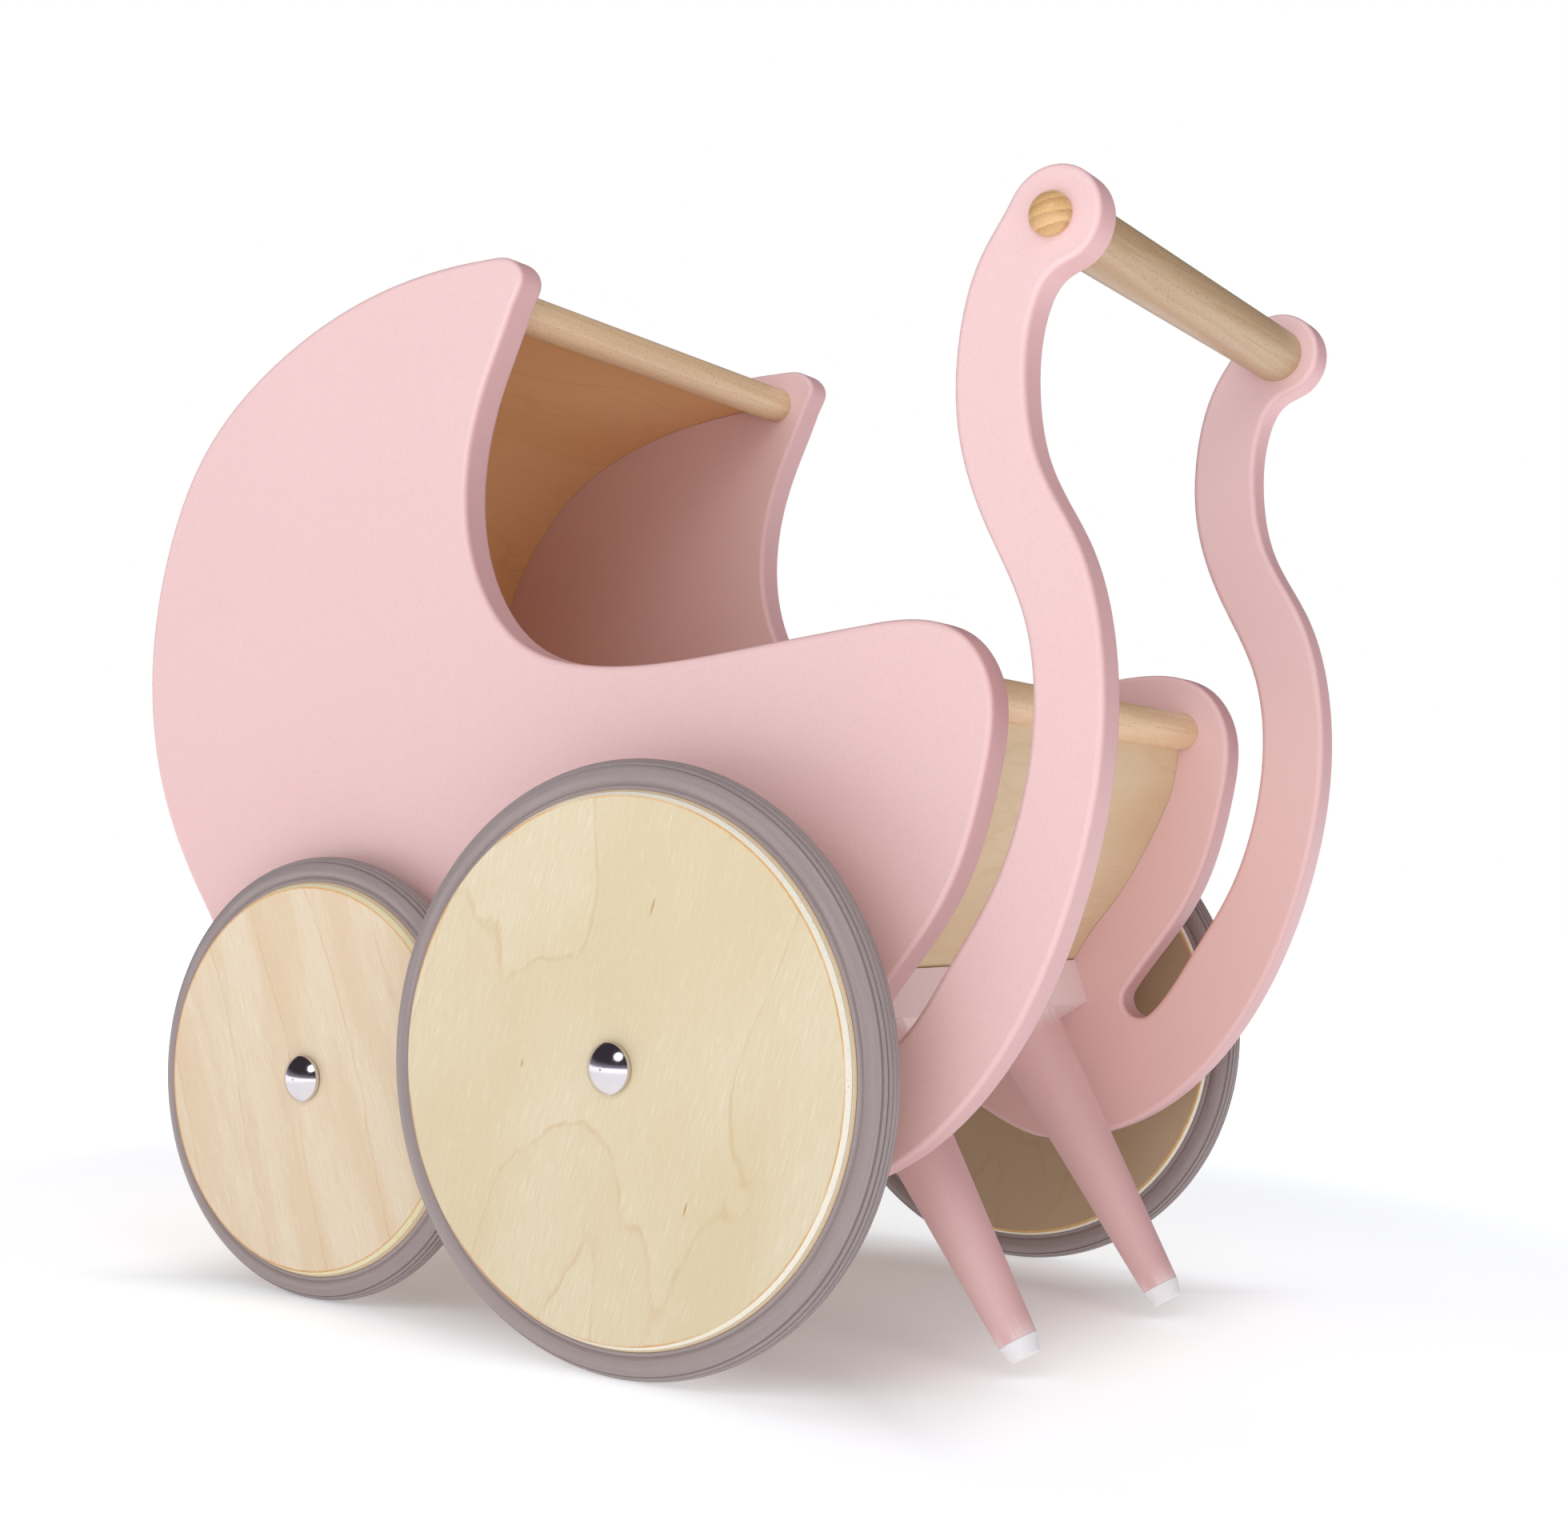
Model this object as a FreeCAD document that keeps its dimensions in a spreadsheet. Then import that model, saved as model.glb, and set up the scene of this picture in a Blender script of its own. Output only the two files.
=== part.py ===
"""Doll stroller: two painted side panels, bent plywood hood and foot, four spinning wheels.

Frame: +X points to the handle (the rear), +Y to the right-hand side, +Z up.
The origin is on the floor, under the centre of the bounding box. Millimetres.
"""
import FreeCAD, Part
import math
import os

import Sketcher

V = FreeCAD.Vector
doc = FreeCAD.newDocument("DollStroller")

# ---------------------------------------------------------------- driving dimensions
SIZES = {
    # side panels
    "panel_thick": 16.0, "panel_inner_y": 114.5, "edge_round": 2.4,
    "head_x": 234.4, "head_z": 453.4, "head_radius": 20.1,
    "slot_x": 171.8, "slot_z": 142.6, "slot_radius": 8.3,
    "groove_deep": 4.0, "groove_play": 0.15,
    # bent plywood and floor
    "ply_thick": 4.0, "floor_thick": 6.0, "floor_top": 160.0, "floor_step": 1.0,
    # round bars
    "dowel_radius": 9.0, "dowel_bore_play": 0.1, "dowel_bore_deep": 8.0,
    "hood_dowel_x": -50.2, "hood_dowel_z": 455.0, "foot_dowel_x": 190.2, "foot_dowel_z": 273.5,
    "bar_radius": 12.5,
    # cross beam and legs
    "beam_rear_x": 144.8, "beam_rear_z": 140.4, "beam_deep": 40.0, "lean": 32.8,
    "pin_radius": 4.0, "pin_length": 30.0, "pin_in_panel": 10.0, "pin_spread": 9.0,
    "leg_y": 72.5, "leg_foot_x": 204.1, "leg_foot_z": 16.5,
    "leg_top_radius": 17.6, "leg_foot_radius": 8.5, "foot_cap_length": 7.6, "foot_cap_radius": 6.9,
    "bolt_radius": 4.0, "bolt_in_leg": 26.0, "bolt_in_beam": 16.0,
    # wheels
    "rear_axle_x": 80.0, "rear_wheel_radius": 122.0, "rear_disc_radius": 109.4,
    "front_axle_x": -113.9, "front_wheel_radius": 100.0, "front_disc_radius": 88.6,
    "rear_wheel_y": 162.7, "front_wheel_y": 136.1,
    "disc_thick": 21.0, "disc_bevel": 2.4, "disc_proud": 4.2, "disc_back_bevel": 1.2,
    "tyre_width": 15.5, "tread_width": 8.5, "tread_ribs": 5.0, "tread_groove": 0.55,
    "axle_radius": 4.0, "running_play": 0.05, "hub_radius": 6.0, "wheel_gap": 0.5,
    "spacer_radius": 7.0, "cap_radius": 10.1, "cap_rim": 2.4, "cap_dome": 4.3,
    # handle fixings
    "screw_radius": 3.0, "screw_head_radius": 5.4, "screw_head_thick": 3.0, "screw_length": 52.0,
    "screw_sink": 7.0, "plug_radius": 8.6, "plug_stem": 3.6, "plug_rim": 2.8, "plug_dome": 5.3,
}

sheet = doc.addObject("Spreadsheet::Sheet", "Sizes")
for row, (name, value) in enumerate(SIZES.items(), start=1):
    sheet.set("A%d" % row, name)
    sheet.set("B%d" % row, str(value))
    sheet.setAlias("B%d" % row, name)
doc.recompute()


def size(name):
    """Return a driving dimension from the sheet."""
    return float(sheet.get(name))


LEAN = math.radians(size("lean"))
UP_LEAN = V(-math.sin(LEAN), 0, math.cos(LEAN))
FORE_LEAN = V(-math.cos(LEAN), 0, -math.sin(LEAN))
OUTER_Y = size("panel_inner_y") + size("panel_thick")
INNER_WIDTH = 2 * size("panel_inner_y")
SHELL_WIDTH = INNER_WIDTH + 2 * (size("groove_deep") - size("groove_play"))

nodes = []


# ---------------------------------------------------------------- building helpers
def new_body(label):
    """Add a body whose label is the node's name."""
    body = doc.addObject("PartDesign::Body", label)
    body.Label = label
    nodes.append(body)
    return body


def origin_plane(body, role):
    """Return one of the body's own origin planes."""
    return next(item for item in body.Origin.OriginFeatures if item.Role == role)


def new_sketch(body, role, name, offset=0.0):
    """Add a sketch on an origin plane, moved along the plane's normal by offset."""
    sketch = body.newObject("Sketcher::SketchObject", name)
    sketch.AttachmentSupport = [(origin_plane(body, role), "")]
    sketch.MapMode = "FlatFace"
    sketch.AttachmentOffset = FreeCAD.Placement(V(0, 0, offset), FreeCAD.Rotation())
    return sketch


def add_ring_profile(sketch, points):
    """Draw a closed polyline whose corners are fixed by rules, given as (x rule, y rule)."""
    corners = [V(sheet_value(x), sheet_value(y), 0) for x, y in points]
    count = len(corners)
    lines = [sketch.addGeometry(Part.LineSegment(corners[i], corners[(i + 1) % count]), False)
             for i in range(count)]
    for i, (x_rule, y_rule) in enumerate(points):
        sketch.addConstraint(Sketcher.Constraint("Coincident", lines[i - 1], 2, lines[i], 1))
        for kind, rule, value in (("DistanceX", x_rule, corners[i].x),
                                  ("DistanceY", y_rule, corners[i].y)):
            if abs(value) < 1e-9:
                on_axis = -2 if kind == "DistanceX" else -1
                sketch.addConstraint(Sketcher.Constraint("PointOnObject", lines[i], 1, on_axis))
                continue
            number = sketch.addConstraint(Sketcher.Constraint(kind, lines[i], 1, value))
            if isinstance(rule, str):
                sketch.setExpression("Constraints[%d]" % number, rule)


def sheet_value(rule):
    """Work out a rule such as 'Sizes.a + Sizes.b' to a number."""
    if not isinstance(rule, str):
        return float(rule)
    total = 0.0
    for term in rule.replace("-", "+-").split("+"):
        term = term.strip()
        if not term:
            continue
        sign = -1.0 if term.startswith("-") else 1.0
        term = term.lstrip("- ")
        total += sign * (size(term[6:]) if term.startswith("Sizes.") else float(term))
    return total


def pad(body, sketch, length_rule, reverse=False):
    """Extrude a sketch by a rule's length."""
    feature = body.newObject("PartDesign::Pad", "Pad")
    feature.Profile = sketch
    feature.setExpression("Length", length_rule)
    feature.Reversed = reverse
    doc.recompute()
    return feature


def pocket(body, sketch, length_rule, reverse=False):
    """Cut a sketch into the body and make sure that it took material away."""
    before = body.Shape.Volume
    feature = body.newObject("PartDesign::Pocket", "Pocket")
    feature.Profile = sketch
    feature.setExpression("Length", length_rule)
    feature.Reversed = reverse
    doc.recompute()
    if body.Shape.Volume > before - 1.0:
        raise RuntimeError("a pocket in %s cut nothing" % body.Label)
    return feature


def revolve(body, sketch):
    """Turn a sketch once round its own vertical axis."""
    feature = body.newObject("PartDesign::Revolution", "Revolution")
    feature.Profile = sketch
    feature.ReferenceAxis = (sketch, ["V_Axis"])
    feature.Angle = 360.0
    doc.recompute()
    return feature


def turned_piece(label, points):
    """Make a piece turned round its local Y axis from a profile of (radius, height) rules."""
    body = new_body(label)
    sketch = new_sketch(body, "XY_Plane", "Profile")
    add_ring_profile(sketch, points)
    revolve(body, sketch)
    return body


def place_along_y(body, x, y, z, side):
    """Put a turned piece so that its height runs outwards on the given side (+1 right)."""
    turn = FreeCAD.Rotation() if side > 0 else FreeCAD.Rotation(V(1, 0, 0), 180)
    body.Placement = FreeCAD.Placement(V(x, side * y, z), turn)


def smooth(points, start=None, end=None):
    """Return a spline through (x, z) points, with end directions where given."""
    poles = [V(x, z, 0) for x, z in points]
    curve = Part.BSplineCurve()
    if start is None:
        curve.interpolate(Points=poles)
    else:
        curve.interpolate(Points=poles, InitialTangent=V(*start, 0), FinalTangent=V(*end, 0),
                          Scale=False)
    return curve


def on_circle(x, z, radius, degrees):
    """Return the point of a circle at an angle."""
    angle = math.radians(degrees)
    return (x + radius * math.cos(angle), z + radius * math.sin(angle))


def dome(radius, low, crest):
    """Return a domed end's arc, centred on the axis, from its rim in to the axis."""
    rise = crest - low
    ball = (radius * radius + rise * rise) / (2 * rise)
    centre = crest - ball
    half = math.atan2(low - centre, radius)
    middle = (half + math.pi / 2) / 2
    return Part.Arc(V(radius, low, 0),
                    V(ball * math.cos(middle), centre + ball * math.sin(middle), 0),
                    V(0, crest, 0))


def heading(degrees, length=1.0):
    """Return a direction at an angle."""
    angle = math.radians(degrees)
    return (length * math.cos(angle), length * math.sin(angle))


# ---------------------------------------------------------------- side panels
HEAD = (size("head_x"), size("head_z"), size("head_radius"))
SLOT = (size("slot_x"), size("slot_z"), size("slot_radius"))
HEAD_FRONT, HEAD_REAR = 152.0, -50.0
SLOT_FRONT, SLOT_REAR = 147.0, -45.0

ARM_REAR = [
    on_circle(*HEAD, HEAD_REAR), (235.2, 431.8), (226.9, 417.0), (224.7, 390.5), (231.0, 359.5),
    (247.6, 329.5), (259.0, 291.0), (260.6, 252.0), (249.0, 191.0), (221.8, 132.4),
    (174.0, 85.6), (124.0, 71.6),
]
BELLY = [
    (124.0, 71.6), (88.3, 83.0), (50.0, 99.5), (0.0, 107.5), (-52.0, 93.0), (-88.0, 74.5),
    (-114.0, 68.5), (-142.0, 78.0), (-178.0, 121.5), (-213.0, 171.2),
]
HOOD_BACK = [
    (-213.0, 171.2), (-246.8, 224.5), (-261.0, 284.0), (-255.0, 342.6), (-230.0, 397.8),
    (-181.5, 439.2), (-119.0, 465.0), (-50.0, 473.2),
]
HOOD_TIP = [(-50.0, 473.2), (-34.6, 471.4), (-27.6, 462.8), (-32.5, 450.0)]
OPENING = [
    (-32.5, 450.0), (-48.5, 411.5), (-56.0, 368.0), (-46.5, 327.0), (-22.0, 298.5), (20.0, 286.6),
    (62.0, 287.4), (110.0, 293.5), (160.0, 300.2),
]
FOOT_REAR = [
    (160.0, 300.2), (177.0, 301.3), (199.5, 295.3), (213.0, 276.0), (212.4, 242.0),
    (196.6, 192.5), on_circle(*SLOT, SLOT_FRONT),
]
ARM_FRONT = [
    on_circle(*SLOT, SLOT_REAR), (197.8, 165.6), (216.0, 196.7), (227.3, 230.0), (231.4, 265.0),
    (225.9, 301.5), (208.6, 337.0), (196.0, 373.0), (194.9, 409.0), (204.6, 443.4),
    on_circle(*HEAD, HEAD_FRONT),
]


def panel_outline():
    """Return the panel's outline in order: arm, belly, hood, opening, foot, slot and head."""
    arc_top = Part.Arc(V(*on_circle(*HEAD, HEAD_FRONT), 0), V(*on_circle(*HEAD, 60), 0),
                       V(*on_circle(*HEAD, HEAD_REAR), 0))
    arc_slot = Part.Arc(V(*on_circle(*SLOT, SLOT_FRONT), 0), V(*on_circle(*SLOT, -130), 0),
                        V(*on_circle(*SLOT, SLOT_REAR), 0))
    return [
        arc_top,
        smooth(ARM_REAR, heading(HEAD_REAR - 90), heading(180)),
        smooth(BELLY, heading(180), heading(128)),
        smooth(HOOD_BACK, heading(128), heading(0)),
        smooth(HOOD_TIP, heading(0), heading(249)),
        smooth(OPENING, heading(249), heading(7)),
        smooth(FOOT_REAR, heading(7), heading(SLOT_FRONT + 90)),
        arc_slot,
        smooth(ARM_FRONT, heading(SLOT_REAR + 90), heading(HEAD_FRONT - 90)),
    ]


HOOD_INNER = [
    (-56.5, 454.0), (-80.0, 452.5), (-115.6, 447.0), (-156.8, 434.2), (-195.1, 411.2),
    (-222.8, 377.4), (-237.0, 347.0), (-243.0, 300.0), (-234.0, 240.0), (-208.0, 192.5),
    (-170.0, 150.0),
]
REAR_EDGE = V(size("beam_rear_x"), 0, size("beam_rear_z"))
BEAM_TOP_REAR = V(137.5, 0, 160.5)
BEAM_TOP_DEEP = 33.0
SHELL_REST = BEAM_TOP_REAR + FORE_LEAN * 5.0 + UP_LEAN * 0.25
SHELL_TAIL = 24.0
FOOT_OUTER = [
    (190.2, 268.6), (187.0, 246.3), (180.0, 228.7), (169.1, 207.8), (156.9, 189.0),
    (144.0, 172.3), (SHELL_REST.x, SHELL_REST.z),
]
HOOD_WAYS = (heading(181), heading(-47))
FOOT_WAYS = (heading(-98), heading(math.degrees(LEAN) - 180))


def shell_outline(points, ways, thick, grow=0.0, tail=0.0, play=0.0):
    """Return the closed outline of a bent sheet: the given face, and one beside it.

    The sheet lies to the right of the points' direction; grow widens it both ways. The ways
    are the directions at its two ends, tail a straight stretch after the last point, and
    play lengthens both ends.
    """
    first = smooth(points, *ways)
    near, far = [], []
    for x, z in points:
        along = first.tangent(first.parameter(V(x, z, 0)))[0]
        side = V(along.y, -along.x, 0)
        near.append(V(x, z, 0) - side * grow)
        far.append(V(x, z, 0) + side * (thick + grow))
    back = [(-way[0], -way[1]) for way in ways]
    start, end = V(*ways[0], 0), V(*ways[1], 0)
    near_start, far_start = near[0] - start * play, far[0] - start * play
    near_end, far_end = near[-1] + end * (tail + play), far[-1] + end * (tail + play)
    corners = [near[-1], near_end, far_end, far[-1]]
    loop = [smooth([(p.x, p.y) for p in near], *ways)]
    loop += [Part.LineSegment(a, b) for a, b in zip(corners, corners[1:])
             if a.distanceToPoint(b) > 1e-6]
    loop.append(smooth([(p.x, p.y) for p in reversed(far)], back[1], back[0]))
    corners = [far[0], far_start, near_start, near[0]]
    loop += [Part.LineSegment(a, b) for a, b in zip(corners, corners[1:])
             if a.distanceToPoint(b) > 1e-6]
    return loop


FLOOR_FRONT_X, FLOOR_REAR_X = -172.0, 117.5


def floor_outline(grow, step=0.0):
    """Return the floor board's section, widened by grow and thinned above and below by step."""
    top = size("floor_top") + grow - step
    low = size("floor_top") - size("floor_thick") - grow + step
    corners = [V(FLOOR_FRONT_X - grow, low, 0), V(FLOOR_REAR_X + grow, low, 0),
               V(FLOOR_REAR_X + grow, top, 0), V(FLOOR_FRONT_X - grow, top, 0)]
    return [Part.LineSegment(corners[i], corners[(i + 1) % 4]) for i in range(4)]


BEAM_FRONT_LOW = REAR_EDGE + FORE_LEAN * size("beam_deep")
BEAM_TOP_FRONT = BEAM_TOP_REAR + FORE_LEAN * BEAM_TOP_DEEP
BEAM_MIDDLE = (REAR_EDGE + BEAM_FRONT_LOW + BEAM_TOP_REAR + BEAM_TOP_FRONT) * 0.25
PIN_PLACES = [BEAM_MIDDLE + FORE_LEAN * (size("pin_spread") * way) for way in (-1, 1)]


def side_panel(label, side):
    """Make one side panel with its inner face on the body's XZ plane."""
    body = new_body(label)
    outline = new_sketch(body, "XZ_Plane", "Outline")
    for edge in panel_outline():
        outline.addGeometry(edge, False)
    block = pad(body, outline, "Sizes.panel_thick", reverse=side > 0)
    rim = [
        "Edge%d" % (number + 1) for number, edge in enumerate(block.Shape.Edges)
        if edge.BoundBox.YLength < 0.01
    ]
    rounding = body.newObject("PartDesign::Fillet", "EdgeRounding")
    rounding.Base = (block, rim)
    rounding.setExpression("Radius", "Sizes.edge_round")
    doc.recompute()

    from_inside = side < 0
    through = new_sketch(body, "XZ_Plane", "ThroughHoles")
    axle_bore = size("axle_radius") + size("running_play")
    for x, z, radius in (
        (size("rear_axle_x"), size("rear_wheel_radius"), axle_bore),
        (size("front_axle_x"), size("front_wheel_radius"), axle_bore),
        (HEAD[0], HEAD[1], size("screw_radius") + size("running_play")),
    ):
        through.addGeometry(Part.Circle(V(x, z, 0), V(0, 0, 1), radius), False)
    pocket(body, through, "Sizes.panel_thick + 1", reverse=from_inside)

    bores = new_sketch(body, "XZ_Plane", "DowelBores")
    bore = size("dowel_radius") + size("dowel_bore_play")
    for x, z in ((size("hood_dowel_x"), size("hood_dowel_z")),
                 (size("foot_dowel_x"), size("foot_dowel_z"))):
        bores.addGeometry(Part.Circle(V(x, z, 0), V(0, 0, 1), bore), False)
    pocket(body, bores, "Sizes.dowel_bore_deep", reverse=from_inside)

    pins = new_sketch(body, "XZ_Plane", "PinBores")
    for place in PIN_PLACES:
        circle = Part.Circle(V(place.x, place.z, 0), V(0, 0, 1), size("pin_radius") + 0.05)
        pins.addGeometry(circle, False)
    pocket(body, pins, "Sizes.pin_in_panel + 0.5", reverse=from_inside)

    play = size("groove_play")
    thick = size("ply_thick")
    for name, loop in (
        ("HoodGroove", shell_outline(HOOD_INNER, HOOD_WAYS, thick, play, 0.0, 0.3)),
        ("FootGroove", shell_outline(FOOT_OUTER, FOOT_WAYS, thick, play, SHELL_TAIL, 0.3)),
        ("FloorGroove", floor_outline(play, size("floor_step"))),
    ):
        groove = new_sketch(body, "XZ_Plane", name)
        for edge in loop:
            groove.addGeometry(edge, False)
        pocket(body, groove, "Sizes.groove_deep", reverse=from_inside)

    sink = new_sketch(body, "XZ_Plane", "ScrewSink", offset=-side * size("panel_thick"))
    circle = Part.Circle(V(HEAD[0], HEAD[1], 0), V(0, 0, 1), size("screw_head_radius") + 0.2)
    sink.addGeometry(circle, False)
    pocket(body, sink, "Sizes.screw_sink", reverse=side > 0)
    body.Placement = FreeCAD.Placement(V(0, side * size("panel_inner_y"), 0), FreeCAD.Rotation())
    return body


SIDES = (("left", -1), ("right", 1))
for side_name, side in SIDES:
    side_panel(side_name + "_side_panel", side)


# ---------------------------------------------------------------- bent plywood and floor
def wide_piece(label, loop, width_rule, width):
    """Pad an XZ outline across the stroller, centred on the middle plane."""
    body = new_body(label)
    sketch = new_sketch(body, "XZ_Plane", "Section")
    for edge in loop:
        sketch.addGeometry(edge, False)
    pad(body, sketch, width_rule)
    body.Placement = FreeCAD.Placement(V(0, width / 2, 0), FreeCAD.Rotation())
    return body


SHELL_RULE = "2 * (Sizes.panel_inner_y + Sizes.groove_deep - Sizes.groove_play)"
wide_piece("hood_shell", shell_outline(HOOD_INNER, HOOD_WAYS, size("ply_thick")),
           SHELL_RULE, SHELL_WIDTH)
wide_piece("foot_shell", shell_outline(FOOT_OUTER, FOOT_WAYS, size("ply_thick"), tail=SHELL_TAIL),
           SHELL_RULE, SHELL_WIDTH)
floor = wide_piece("floor_board", floor_outline(0.0, size("floor_step")), SHELL_RULE, SHELL_WIDTH)
board = new_sketch(floor, "XZ_Plane", "Board", offset=size("groove_deep"))
for edge in floor_outline(0.0):
    board.addGeometry(edge, False)
pad(floor, board, "2 * (Sizes.panel_inner_y - Sizes.groove_play)")


# ---------------------------------------------------------------- cross bars
def round_bar(label, x, z, radius_rule, length_rule, length):
    """Make a round bar along Y, centred on the middle plane."""
    body = new_body(label)
    sketch = new_sketch(body, "XZ_Plane", "Section")
    index = sketch.addGeometry(Part.Circle(V(0, 0, 0), V(0, 0, 1), sheet_value(radius_rule)), False)
    sketch.addConstraint(Sketcher.Constraint("Coincident", index, 3, -1, 1))
    rule = sketch.addConstraint(Sketcher.Constraint("Radius", index, sheet_value(radius_rule)))
    sketch.setExpression("Constraints[%d]" % rule, radius_rule)
    pad(body, sketch, length_rule)
    body.Placement = FreeCAD.Placement(V(x, length / 2, z), FreeCAD.Rotation())
    return body


def shell_slot(body, x, z, deep, toward):
    """Cut the slot in a dowel that takes a shell's edge, running the dowel's whole length.

    The slot runs from just inside the dowel's middle, out along the toward direction.
    """
    half = size("ply_thick") / 2 + 0.2
    along = V(*toward, 0)
    across = V(-along.y, along.x, 0)
    start = V(x, z, 0) - along * deep
    end = start + along * (size("dowel_radius") + deep + 3)
    corners = [start - across * half, end - across * half, end + across * half,
               start + across * half]
    sketch = new_sketch(body, "XZ_Plane", "ShellSlot")
    for i in range(4):
        sketch.addGeometry(Part.LineSegment(corners[i], corners[(i + 1) % 4]), False)
    pocket(body, sketch, DOWEL_RULE, reverse=True)


DOWEL_LENGTH = INNER_WIDTH + 2 * (size("dowel_bore_deep") - 0.2)
DOWEL_RULE = "2 * (Sizes.panel_inner_y + Sizes.dowel_bore_deep - 0.2)"
hood_dowel = round_bar("hood_dowel", size("hood_dowel_x"), size("hood_dowel_z"),
                       "Sizes.dowel_radius", DOWEL_RULE, DOWEL_LENGTH)
shell_slot(hood_dowel, -5.6, 1.0, 0.0, heading(180))
foot_dowel = round_bar("foot_dowel", size("foot_dowel_x"), size("foot_dowel_z"),
                       "Sizes.dowel_radius", DOWEL_RULE, DOWEL_LENGTH)
shell_slot(foot_dowel, -1.75, -3.0, 0.0, heading(-98))

handle_bar = round_bar("handle_bar", HEAD[0], HEAD[1], "Sizes.bar_radius",
                       "2 * Sizes.panel_inner_y", INNER_WIDTH)
for end_name, offset, reverse in (("Right", 0.0, True), ("Left", INNER_WIDTH, False)):
    pilot = new_sketch(handle_bar, "XZ_Plane", "Pilot" + end_name, offset=offset)
    circle = Part.Circle(V(0, 0, 0), V(0, 0, 1), size("screw_radius") + size("running_play"))
    pilot.addGeometry(circle, False)
    pocket(handle_bar, pilot, "Sizes.screw_length - Sizes.panel_thick + Sizes.screw_sink + 1",
           reverse=reverse)

for side_name, side in SIDES:
    head_low = "Sizes.screw_length"
    head_top = "Sizes.screw_length + Sizes.screw_head_thick"
    screw = turned_piece(side_name + "_handle_screw", [
        (0, 0), ("Sizes.screw_radius", 3.0), ("Sizes.screw_radius", head_low),
        ("Sizes.screw_head_radius", head_low), ("Sizes.screw_head_radius", head_top),
        (0, head_top),
    ])
    place_along_y(screw, HEAD[0], OUTER_Y - size("screw_sink") - size("screw_length"),
                  HEAD[1], side)

    plug = new_body(side_name + "_handle_plug")
    sketch = new_sketch(plug, "XY_Plane", "Profile")
    stem = size("plug_stem")
    stem_radius = size("screw_head_radius")
    radius = size("plug_radius")
    rim = stem + size("plug_rim")
    crest = rim + size("plug_dome")
    for edge in (
        Part.LineSegment(V(0, 0, 0), V(stem_radius, 0, 0)),
        Part.LineSegment(V(stem_radius, 0, 0), V(stem_radius, stem, 0)),
        Part.LineSegment(V(stem_radius, stem, 0), V(radius, stem, 0)),
        Part.LineSegment(V(radius, stem, 0), V(radius, rim, 0)),
        dome(radius, rim, crest),
        Part.LineSegment(V(0, crest, 0), V(0, 0, 0)),
    ):
        sketch.addGeometry(edge, False)
    revolve(plug, sketch)
    place_along_y(plug, HEAD[0], OUTER_Y - stem + 0.05, HEAD[1], side)


# ---------------------------------------------------------------- cross beam, pins and legs
beam_corners = [V(p.x, p.z, 0) for p in (REAR_EDGE, BEAM_TOP_REAR, BEAM_TOP_FRONT, BEAM_FRONT_LOW)]
beam = wide_piece("cross_beam", [Part.LineSegment(beam_corners[i], beam_corners[(i + 1) % 4])
                                 for i in range(4)], "2 * Sizes.panel_inner_y", INNER_WIDTH)
LEG_FOOT = V(size("leg_foot_x"), 0, size("leg_foot_z"))
LEG_LENGTH = (REAR_EDGE - LEG_FOOT).dot(UP_LEAN)

for end_name, offset, reverse in (("Right", 0.0, True), ("Left", INNER_WIDTH, False)):
    pins = new_sketch(beam, "XZ_Plane", "PinBores" + end_name, offset=offset)
    for place in PIN_PLACES:
        circle = Part.Circle(V(place.x, place.z, 0), V(0, 0, 1), size("pin_radius") + 0.05)
        pins.addGeometry(circle, False)
    pocket(beam, pins, "Sizes.pin_length - Sizes.pin_in_panel + 0.5", reverse=reverse)

bolt_tool = []
for side_name, side in SIDES:
    leg_axis = FreeCAD.Rotation(V(0, 1, 0), UP_LEAN)
    foot = V(LEG_FOOT.x, side * size("leg_y"), LEG_FOOT.z)
    hole = "Sizes.bolt_radius + Sizes.running_play"
    leg_top = LEG_LENGTH
    leg = turned_piece(side_name + "_leg", [
        (0, 0), ("Sizes.leg_foot_radius", 0), ("Sizes.leg_top_radius", leg_top),
        (hole, leg_top), (hole, leg_top - size("bolt_in_leg") - 1),
        (0, leg_top - size("bolt_in_leg") - 1),
    ])
    leg.Placement = FreeCAD.Placement(foot, leg_axis)

    cap_round = 1.4
    cap = turned_piece(side_name + "_foot_cap", [
        (0, 0), (size("foot_cap_radius") - cap_round, 0),
        (size("foot_cap_radius") - 0.35, 0.4), ("Sizes.foot_cap_radius", cap_round),
        ("Sizes.leg_foot_radius + 0.1", "Sizes.foot_cap_length - 0.5"),
        ("Sizes.leg_foot_radius - 0.3", "Sizes.foot_cap_length"), (0, "Sizes.foot_cap_length"),
    ])
    cap.Placement = FreeCAD.Placement(foot - UP_LEAN * size("foot_cap_length"), leg_axis)

    bolt = turned_piece(side_name + "_leg_bolt", [
        (0, 0), (size("bolt_radius") - 1, 0), ("Sizes.bolt_radius", 1.0),
        ("Sizes.bolt_radius", "Sizes.bolt_in_leg + Sizes.bolt_in_beam - 1"),
        (size("bolt_radius") - 1, "Sizes.bolt_in_leg + Sizes.bolt_in_beam"),
        (0, "Sizes.bolt_in_leg + Sizes.bolt_in_beam"),
    ])
    bolt.Placement = FreeCAD.Placement(foot + UP_LEAN * (LEG_LENGTH - size("bolt_in_leg")),
                                       leg_axis)
    tool = doc.addObject("Part::Cylinder", "BoltHole" + side_name.title())
    tool.setExpression("Radius", "Sizes.bolt_radius + Sizes.running_play")
    tool.setExpression("Height", "Sizes.bolt_in_beam + 2")
    tool.Placement = FreeCAD.Placement(foot + UP_LEAN * (LEG_LENGTH - 1),
                                       FreeCAD.Rotation(V(0, 0, 1), UP_LEAN))
    bolt_tool.append(tool)

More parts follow.
